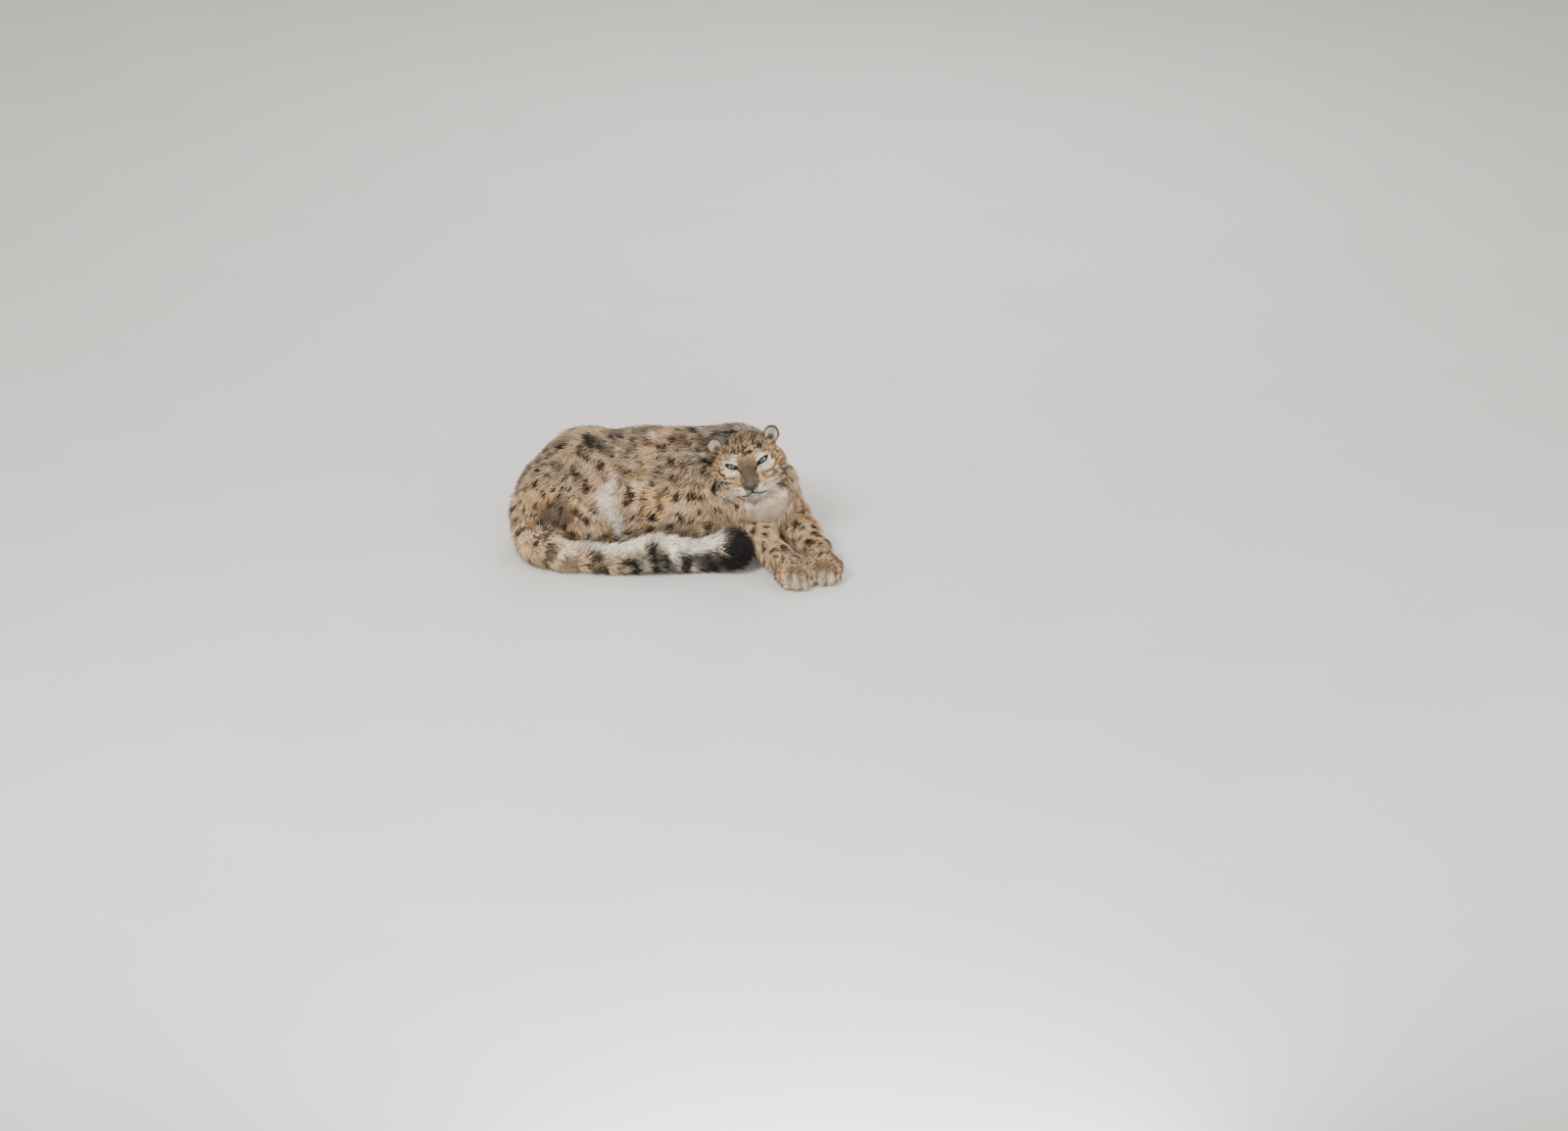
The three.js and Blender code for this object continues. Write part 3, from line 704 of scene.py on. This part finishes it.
def set_colours(mesh, name, values):
    layer = mesh.attributes.new(name, "FLOAT_COLOR", "POINT")
    layer.data.foreach_set("color", np.c_[values, np.ones(len(values))].astype(np.float32).ravel())


def read_out(items, key, each=3, kind=np.float32):
    """One property of all the items, as rows of each numbers."""
    flat = np.empty(len(items) * each, kind)
    items.foreach_get(key, flat)
    return flat.reshape(-1, each)


# Pieces

SKIN_CELL = 6.0
SKIN_FLOOR = 1.0  # the skin's height where the body lies on the floor
FAR_OUTSIDE = 50.0  # the distance that the grid gives beyond its box
# The box that holds the whole skin
BODY_LOW = np.array([-450.0, -170.0, -20.0])
BODY_HIGH = np.array([440.0, 430.0, 350.0])


def sampled(field, low, high, cell):
    """The field over a box, as a grid whose zero surface is meshed."""
    counts = np.ceil((high - low) / cell).astype(int)
    axes = [low[i] + cell * np.arange(counts[i]) for i in range(3)]
    grid = np.stack(np.meshgrid(*axes, indexing="ij"), -1).reshape(-1, 3).astype(np.float32)
    values = np.concatenate([field(part) for part in batches(grid, 120000)])
    values = np.maximum(values, SKIN_FLOOR - grid[:, 2])
    volume = openvdb.FloatGrid()
    volume.background = FAR_OUTSIDE
    volume.copyFromArray(values.reshape(counts).astype(np.float32))
    points, quads = volume.convertToQuads()
    return points * cell + low, quads[:, ::-1]


@lru_cache
def body_surface():
    """The skin's points and four-sided faces before the face is made finer: its points are evenly spread."""
    return sampled(to_body, BODY_LOW, BODY_HIGH, SKIN_CELL)


@lru_cache
def markings_and_shade(seed):
    return MarkingsAndShade(body_surface()[0].astype(np.float32), seed)


def settled(p, field, reach):
    """Points moved on to the field's zero surface, by no more than reach each time."""
    for _ in range(2):
        d = field(p)
        p = p - np.clip(d, -reach, reach)[:, None] * slope(field, p)
    p[:, 2] = np.maximum(p[:, 2], SKIN_FLOOR)
    return p


def refined(mesh, centre, radius, reach):
    """Splits the faces near a point in four and settles their points on the detailed skin."""
    shape = bmesh.new()
    shape.from_mesh(mesh)
    near = [f for f in shape.faces if (f.calc_center_median() - centre).length < radius]
    edges = list({edge for face in near for edge in face.edges})
    bmesh.ops.subdivide_edges(shape, edges=edges, cuts=1, use_grid_fill=True)
    shape.to_mesh(mesh)
    shape.free()
    p = read_out(mesh.vertices, "co")
    moved = np.linalg.norm(p - np.array(centre), axis=1) < radius
    p[moved] = settled(p[moved], lambda q: to_body(q, 0, True), reach)
    mesh.vertices.foreach_set("co", p.ravel())
    mesh.update()


def unwrapped(made):
    """An OFBake map from the piece's own shape."""
    bpy.context.view_layer.objects.active = made
    made.select_set(True)
    made.data.uv_layers.new(name="OFBake")
    bpy.ops.object.mode_set(mode="EDIT")
    bpy.ops.mesh.select_all(action="SELECT")
    bpy.ops.uv.smart_project(angle_limit=math.radians(66), island_margin=0.002)
    bpy.ops.object.mode_set(mode="OBJECT")
    made.select_set(False)


# Where the skin's mesh is made finer, in the head's frame: the middle and radius of each place, the
# whole head first and the nose and eyes last, and how far its points may move to settle
FINER = (
    ((0, -40, -5), 125, 2.5), ((0, 20, -25), 82, 1.2), ((0, 52, -48), 36, 0.8),
    ((-EYE_X, -2, 0), 21, 0.8), ((EYE_X, -2, 0), 21, 0.8),
)
FLESH = (
    "head", "ear_right", "ear_left", "neck", "chest", "belly", "rump", "tail_root", "tail_rear",
    "tail_middle", "tail_front", "tail_tip", "forepaw_right", "forepaw_left", "foreleg_right",
    "foreleg_left", "hindfoot_right", "hindfoot_left", "hindleg_right", "hindleg_left")


def colour_setting(name, description, default):
    return bpy.props.FloatVectorProperty(
        name=name, description=description, subtype="COLOR", size=4, default=linear(default))


def share_setting(name, description):
    return bpy.props.FloatProperty(name=name, description=description, default=1.0, subtype="FACTOR")


class LeopardLooks(bpy.types.PropertyGroup):
    tan: colour_setting("Tan", "Flank hair", "#DCB37E")
    grey: colour_setting("Grey", "Back hair", "#85745F")
    cream: colour_setting("Cream", "Belly and chin", "#F8F2E4")
    # The spots' colour, also used for the painted shade between the toes
    spot_and_shade: colour_setting("Spots", "Spots and rings", "#120D0A")
    nose: colour_setting("Nose", "Nose leather", "#4C3B30")
    iris: colour_setting("Iris", "Iris", "#8E9787")
    tuft_width: share_setting("Tuft width", "Share of the usual width")
    tufts: share_setting("Tufts", "Share of the usual number")
    seed: bpy.props.IntProperty(name="Seed", description="Which spots and tufts are drawn", default=7)


class LEOPARD_OT_skin(bpy.types.Operator):
    """One skin from the same forms as the solids, inside them by the coat's depth, with a finer face"""
    bl_idname = "leopard.skin"
    bl_label = "Skin"

    def execute(self, context):
        looks = context.scene.leopard_looks
        points, quads = body_surface()
        materials = [skin_material(looks), nose_material(looks)]
        made = mesh_object("leopard_skin", points.tolist(), quads.tolist(), materials)
        mesh = made.data
        for centre, radius, reach in FINER:
            refined(mesh, Vector(from_head(centre)), radius, reach)
        p = read_out(mesh.vertices, "co")
        normals = slope(to_body, p, 1.0)
        set_colours(mesh, "marks_and_shade", markings_and_shade(looks.seed).read(p, normals))
        mesh.vertices.foreach_set("co", placed(p).astype(np.float32).ravel())
        pad = on_nose(in_head(read_out(mesh.polygons, "center") / MM - SHIFT.astype(np.float32)))
        mesh.polygons.foreach_set("material_index", pad.astype(np.int32))
        mesh.polygons.foreach_set("use_smooth", np.ones(len(pad), bool))
        mesh.update()
        unwrapped(made)
        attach(made, "root")
        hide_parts(*FLESH)
        return {"FINISHED"}


GLOBE_SHARE = 0.985  # an eyeball's looks lie just inside its solid
CORNEA_RADIUS = 0.62  # as a share of the eyeball's, like its bulge
CORNEA_BULGE = 0.05


class LEOPARD_OT_eyes(bpy.types.Operator):
    """Two eyeballs, each with a slight corneal bulge to the front"""
    bl_idname = "leopard.eyes"
    bl_label = "Eyes"

    def execute(self, context):
        wet = eye_material(context.scene.leopard_looks)
        for name, x in (("eye_right", -EYE_X), ("eye_left", EYE_X)):
            shape = bmesh.new()
            bmesh.ops.create_uvsphere(shape, u_segments=48, v_segments=32, radius=1)
            p = np.array([v.co for v in shape.verts])
            faces = [[v.index for v in f.verts] for f in shape.faces]
            shape.free()
            p = p[:, [0, 2, 1]] * (1, 1, -1)
            off = np.hypot(p[:, 0], p[:, 2])
            front = p[:, 1] > 0
            bulge = 1 + CORNEA_BULGE * np.where(front, np.clip(1 - (off / CORNEA_RADIUS) ** 2, 0, 1), 0)
            look = np.where(front, off, 1)
            h = p * (EYE_RADIUS * bulge)[:, None] * GLOBE_SHARE + (x, -EYE_DEPTH, 0)
            turned = placed(from_head(h))
            flipped = [face[::-1] for face in faces]
            made = mesh_object(name + "_globe", turned.tolist(), flipped, [wet])
            turn = np.arctan2(p[:, 2], p[:, 0]) / (2 * math.pi) + 0.5
            set_colours(made.data, "eye", np.stack([look, turn, 0 * turn], 1))
            made.data.polygons.foreach_set("use_smooth", [True] * len(faces))
            unwrapped(made)
            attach(made, "root")
            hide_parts(name)
        return {"FINISHED"}


def tufts(root, normal, lie, length, height, width, rings, rng):
    """Three-sided tapered locks: they leave the skin steeply, then lie over and along it."""
    side = np.cross(normal, lie)
    count = len(root)
    curl = rng.normal(0, 0.26, count)
    places = np.arange(rings) / rings
    vertices = np.empty((count, 3 * rings + 1, 3))
    for k, s in enumerate([*places, 1.0]):
        rise = height * (1 - (1 - s) ** 2)
        run = length * s**1.15
        middle = root + rise[:, None] * normal + run[:, None] * (lie + (curl * s)[:, None] * side)
        if s == 1.0:
            vertices[:, -1] = middle
            continue
        thick = width * (1 - 0.9 * s**1.6) * (0.75 if k == 0 else 1)
        for j in range(3):
            turn = 2 * math.pi * j / 3 + math.pi / 2
            offset = math.cos(turn) * side + 0.55 * math.sin(turn) * normal
            vertices[:, 3 * k + j] = middle + (thick / 2)[:, None] * offset
    faces = []
    for k in range(rings - 1):
        for j in range(3):
            a, b = 3 * k + j, 3 * k + (j + 1) % 3
            faces += [(a, b, b + 3), (a, b + 3, a + 3)]
    last = 3 * (rings - 1)
    faces += [(last + j, last + (j + 1) % 3, 3 * rings) for j in range(3)]
    faces += [(0, 2, 1)]
    return vertices, np.array(faces)


def fast_mesh(name, vertices, triangles, fur):
    """A mesh object straight from arrays of points and triangles."""
    mesh = bpy.data.meshes.new(name)
    mesh.vertices.add(len(vertices))
    mesh.vertices.foreach_set("co", vertices.astype(np.float32).ravel())
    mesh.loops.add(triangles.size)
    mesh.loops.foreach_set("vertex_index", triangles.astype(np.int32).ravel())
    mesh.polygons.add(len(triangles))
    mesh.polygons.foreach_set("loop_start", np.arange(0, triangles.size, 3, dtype=np.int32))
    mesh.polygons.foreach_set("use_smooth", np.ones(len(triangles), bool))
    mesh.materials.append(fur)
    mesh.update(calc_edges=True)
    return linked(name, mesh)


TUFT_RINGS = 2
TUFT_FLOOR = 0.4  # no tuft reaches lower
TUFT_PATCH = 0.003  # a tuft's share of the map, each way
COAT_DEPTHS = (2.5, 34)  # the least and the most
WHOLE = (-900, 900)
# Coat pieces: the regions that each covers and from where to where across, its number of tufts, their
# width, and how far they lie over, as a share of the coat's depth
COATS = {
    "coat_rump": (("trunk",), (-900, -150), 19500, 3.0, 1.3),
    "coat_flank": (("trunk",), (-150, 20), 17500, 3.0, 1.3),
    "coat_shoulder": (("trunk",), (20, 900), 17500, 3.0, 1.3),
    "coat_neck": (("neck",), WHOLE, 12500, 2.6, 1.1),
    "coat_hindquarters": (
        ("hindleg_right", "hindleg_left", "hindfoot_right", "hindfoot_left"), WHOLE, 17500, 2.8, 1.3),
    "coat_forelegs": (("foreleg_right", "foreleg_left"), WHOLE, 14500, 2.0, 1.5),
    "coat_forepaws": (("forepaw_right", "forepaw_left"), WHOLE, 13500, 1.5, 1.2),
    "coat_tail": (("tail",), WHOLE, 17500, 3.3, 1.35),
    "coat_head": (("head",), WHOLE, 19900, 1.3, 1.5),
}


def lie_of_hair(p, normal, names, distances):
    """The way the hair lies at points of the skin, as unit vectors along it."""
    weight = np.exp(-(distances - distances.min(axis=1, keepdims=True)) / 12)
    flow = np.zeros_like(p)
    for i, name in enumerate(names):
        if name == "head":
            h = in_head(p)
            way = h - NOSE_TIP
            way[:, 2] += 0.25 * np.abs(way[:, 2]) * fade(0, 30, h[:, 2])
            way = unit(way) @ HEAD_TURN.T
        elif "flow" in FORMS[name]:
            way = np.broadcast_to(np.array(FORMS[name]["flow"], float), p.shape)
        else:
            shapes = FORMS[name]["shapes"]
            nearest = np.argmin(np.stack([to_shape(p, shape, 0) for shape in shapes], 1), axis=1)
            ways = np.array([np.subtract(shape["end"], shape["start"]) for shape in shapes], float)
            way = unit(ways)[nearest]
        flow += weight[:, i:i + 1] * way
    swirl = 0.5 * np.stack([ripple(p, 70, 1), ripple(p, 70, 2), ripple(p, 70, 3)], 1)
    flow = unit(flow) + swirl
    return unit(flow - (flow * normal).sum(axis=1, keepdims=True) * normal)


def bare(p):
    """Where no tuft grows: the eyes' openings, the nose pad and the lips' line."""
    h = in_head(p).astype(np.float32)
    x, y, z = np.abs(h[:, 0]), h[:, 1], h[:, 2]
    eye = (from_pupil(x, z) < 8) & (y > -35)
    return eye | on_nose(h, -0.8) | (to_mouth(h) < 2.2)


class LEOPARD_OT_coat(bpy.types.Operator):
    """Overlapping solid tufts over the whole skin, as long as the coat is deep and lying as it grows"""
    bl_idname = "leopard.coat"
    bl_label = "Coat"

    def execute(self, context):
        looks = context.scene.leopard_looks
        fur = fur_material(looks)
        skin = bpy.data.objects["leopard_skin"].data
        skin.calc_loop_triangles()
        corners = read_out(skin.loop_triangles, "vertices", kind=np.int32)
        loops = read_out(skin.loop_triangles, "loops", kind=np.int32)
        uv = read_out(skin.uv_layers["OFBake"].data, "uv", 2)
        p = read_out(skin.vertices, "co") / MM - SHIFT
        triangle = p[corners]
        sides = triangle[:, 1:] - triangle[:, :1]
        area = np.linalg.norm(np.cross(sides[:, 0], sides[:, 1]), axis=1) / 2
        centre = triangle.mean(axis=1).astype(np.float32)
        names, distances = regions(centre)
        region = np.argmin(distances, axis=1)
        for seed, (name, (wanted, span, number, width, lay)) in enumerate(COATS.items()):
            rng = np.random.default_rng([looks.seed, seed])
            inside = np.isin(region, [names.index(n) for n in wanted])
            inside &= (centre[:, 0] >= span[0]) & (centre[:, 0] < span[1])
            share = np.where(inside, area, 0)
            if name == "coat_head":
                share = share * (1 + 1.2 * (in_head(centre)[:, 1] > -25))
            picked = rng.choice(len(area), int(number * looks.tufts), p=share / share.sum())
            mix = rng.dirichlet((1, 1, 1), len(picked))
            root = (p[corners[picked]] * mix[:, :, None]).sum(axis=1)
            keep = ~bare(root)
            picked, mix, root = picked[keep], mix[keep], root[keep]
            normal = slope(to_body, root, 1.0)
            names_at, near = regions(root.astype(np.float32))
            lie = lie_of_hair(root, normal, names_at, near)
            depth = np.clip(-to_body(root, 1), *COAT_DEPTHS)
            floor = fade(0, 30, root[:, 2])
            height = depth * rng.uniform(0.6, 0.98, len(root)) * (0.25 + 0.75 * floor)
            length = depth * lay * rng.uniform(0.8, 1.2, len(root)) + 2
            if name == "coat_head":
                behind = np.maximum(-in_head(root)[:, 1] - 5, 0)
                chin = fade(-66, -80, in_head(root)[:, 2])
                length = np.minimum(length, 4.5 + 0.33 * behind + 6 * chin)
                height = np.minimum(height, 0.26 * length + 0.2)
            wide = width * looks.tuft_width * rng.uniform(0.7, 1.2, len(root)) * np.clip(depth / 16, 0.6, 1.1)
            vertices, faces = tufts(root, normal, lie, length, height, wide, TUFT_RINGS, rng)
            vertices[:, :, 2] = np.maximum(vertices[:, :, 2], TUFT_FLOOR)
            count, each = vertices.shape[:2]
            triangles = (faces[None] + each * np.arange(count)[:, None, None]).reshape(-1, 3)
            made = fast_mesh(name, placed(vertices.reshape(-1, 3)), triangles, fur)
            colour = markings_and_shade(looks.seed).read(root, normal)
            set_colours(made.data, "marks_and_shade", np.repeat(colour, each, axis=0))
            along = np.r_[np.repeat(np.arange(TUFT_RINGS) / TUFT_RINGS, 3), 1.0]
            chances = np.repeat(rng.random((count, 2)), each, axis=0)
            set_colours(made.data, "tuft", np.c_[np.tile(along, count), chances])
            self.map(made.data, (uv[loops[picked]] * mix[:, :, None]).sum(axis=1), faces, each, along)
            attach(made, "root")
        return {"FINISHED"}

    def map(self, mesh, root, faces, each, along):
        """Each tuft is a small patch at its root's place on the skin's own map."""
        across = np.r_[np.tile(np.arange(3) / 2, (each - 1) // 3), 0.5]
        local = (np.stack([across, along], 1) - 0.5) * TUFT_PATCH
        places = np.clip(root[:, None] + local[None], TUFT_PATCH / 2, 1 - TUFT_PATCH / 2).reshape(-1, 2)
        layer = mesh.uv_layers.new(name="OFBake")
        corners = (faces[None] + each * np.arange(len(root))[:, None, None]).ravel()
        layer.data.foreach_set("uv", places[corners].astype(np.float32).ravel())


# Whiskers' lengths, their radius at the root, their rings and sides, and the way they droop
LIP_WHISKER = 62
BROW_WHISKER = 32
WHISKER_RADIUS = 0.3
WHISKER_RINGS = 6
WHISKER_SIDES = 4
WHISKER_DROOP = np.array((0, -0.35, -0.22))


class LEOPARD_OT_whiskers(bpy.types.Operator):
    """Rows of stiff whiskers from the lip pads, and a few over each eye"""
    bl_idname = "leopard.whiskers"
    bl_label = "Whiskers"

    def execute(self, context):
        rng = np.random.default_rng(context.scene.leopard_looks.seed)
        vertices, faces = [], []
        ring = np.arange(WHISKER_SIDES)
        for side in (-1, 1):
            starts = [((side * (24 + 4 * i + 1.5 * j), 50 - 6 * i, -44 - 4.5 * j),
                       (side * 1.0, 0.25 - 0.12 * i, 0.12 - 0.16 * j), LIP_WHISKER)
                      for i in range(4) for j in range(4)]
            starts += [((side * (30 + 5 * i), 2, 22), (side * (0.35 + 0.2 * i), 0.5, 0.8), BROW_WHISKER)
                       for i in range(3)]
            for start, way, long in starts:
                way = np.array(way) + rng.normal(0, 0.06, 3)
                way /= np.linalg.norm(way)
                long = long * rng.uniform(0.7, 1.05)
                across = np.cross(way, (0, 1, 0))
                across /= np.linalg.norm(across)
                other = np.cross(way, across)
                first = len(vertices)
                for s in np.linspace(0, 1, WHISKER_RINGS):
                    middle = np.array(start) + way * (long * s - 3) + WHISKER_DROOP * long * s * s
                    for j in range(WHISKER_SIDES):
                        turn = 2 * math.pi * j / WHISKER_SIDES
                        off = math.cos(turn) * across + math.sin(turn) * other
                        vertices.append(middle + (WHISKER_RADIUS * (1.08 - s)) * off)
                for low in range(first, len(vertices) - WHISKER_SIDES, WHISKER_SIDES):
                    a, b = low + ring, low + np.roll(ring, -1)
                    faces += np.stack([a, b, b + WHISKER_SIDES, a + WHISKER_SIDES], 1).tolist()
                faces.append((len(vertices) - WHISKER_SIDES + ring).tolist())
                faces.append((first + ring[::-1]).tolist())
        made = mesh_object("whiskers", placed(from_head(vertices)).tolist(), faces, [whisker_material()])
        unwrapped(made)
        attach(made, "root")
        return {"FINISHED"}


# Stage

CAMERA_DISTANCE = 20.0
SENSOR = 36
VIEW_WIDTH = 3.84  # metres across the photograph at the animal
VIEW_MIDDLE = (0.2664, 0.0144)  # across and up the photograph from the pose's origin, in metres
LAMP_AIM = Vector((0, 0, 0.15))
FLOOR_REACH = 40
# Each lamp's name, place and size in metres, and power in watts
LAMPS = (
    ("key", (-1.6, -2.4, 3.2), 1.2, 180), ("fill", (2.8, -1.6, 1.8), 2.2, 45),
    ("front", (0.4, -3.2, 0.6), 1.5, 62), ("back", (0.6, 2.8, 2.6), 1.8, 80),
)


class LEOPARD_OT_stage(bpy.types.Operator):
    """A pale floor that sweeps to the horizon, soft lights, and the camera"""
    bl_idname = "leopard.stage"
    bl_label = "Stage"

    def execute(self, context):
        scene = context.scene
        # A painted studio floor: matt, and nearly even in tone
        made, tree, shader = material("pale studio floor", Roughness=0.9)
        connect(tree, shader, mixed(tree, pattern(tree, 3.0), linear("#DAD7D2"), linear("#D2CFCA")))
        corners = [(x * FLOOR_REACH, y * FLOOR_REACH, 0) for x, y in ((-1, -1), (1, -1), (1, 1), (-1, 1))]
        floor = mesh_object("floor", corners, [(0, 1, 2, 3)], [made])
        world = bpy.data.worlds.new("soft room")
        world.use_nodes = True
        background = world.node_tree.nodes["Background"]
        background.inputs["Color"].default_value = linear("#F4F1EC")
        background.inputs["Strength"].default_value = 0.8
        scene.world = world
        for name, place, size, power in LAMPS:
            light = bpy.data.lights.new(name, "AREA")
            light.size, light.energy = size, power
            lamp = linked(name, light)
            lamp.location = place
            lamp.rotation_euler = (LAMP_AIM - Vector(place)).to_track_quat("-Z", "Y").to_euler()
        across, rise = VIEW_MIDDLE
        aim = Vector((across, 0, 0)) + rise * Vector(UP_PICTURE) + Vector(SHIFT * MM)
        camera = linked("camera", bpy.data.cameras.new("camera"))
        camera.data.sensor_width = SENSOR
        camera.data.lens = SENSOR * CAMERA_DISTANCE / VIEW_WIDTH
        camera.location = aim + Vector(TO_CAMERA) * CAMERA_DISTANCE
        camera.rotation_euler = Vector(-TO_CAMERA).to_track_quat("-Z", "Y").to_euler()
        camera.data.clip_end = 200
        scene.camera = camera
        return {"FINISHED"}


class LEOPARD_PT_panel(bpy.types.Panel):
    """The pieces, in the order they are built"""
    bl_idname = "LEOPARD_PT_panel"
    bl_label = "Snow Leopard"
    bl_space_type = "VIEW_3D"
    bl_region_type = "UI"
    bl_category = "Leopard"

    def draw(self, context):
        for prop in LeopardLooks.__annotations__:
            self.layout.prop(context.scene.leopard_looks, prop)
        for operator in OPERATORS:
            self.layout.operator(operator.bl_idname)


OPERATORS = (LEOPARD_OT_stage, LEOPARD_OT_skin, LEOPARD_OT_eyes, LEOPARD_OT_whiskers, LEOPARD_OT_coat)
CLASSES = (LeopardLooks, *OPERATORS, LEOPARD_PT_panel)


def register():
    for each in CLASSES:
        bpy.utils.register_class(each)
    bpy.types.Scene.leopard_looks = bpy.props.PointerProperty(type=LeopardLooks)


def unregister():
    del bpy.types.Scene.leopard_looks
    for each in reversed(CLASSES):
        bpy.utils.unregister_class(each)


def main():
    register()
    bpy.ops.leopard.stage()
    bpy.ops.leopard.skin()
    bpy.ops.leopard.eyes()
    bpy.ops.leopard.whiskers()
    bpy.ops.leopard.coat()


if __name__ == "__main__":
    main()
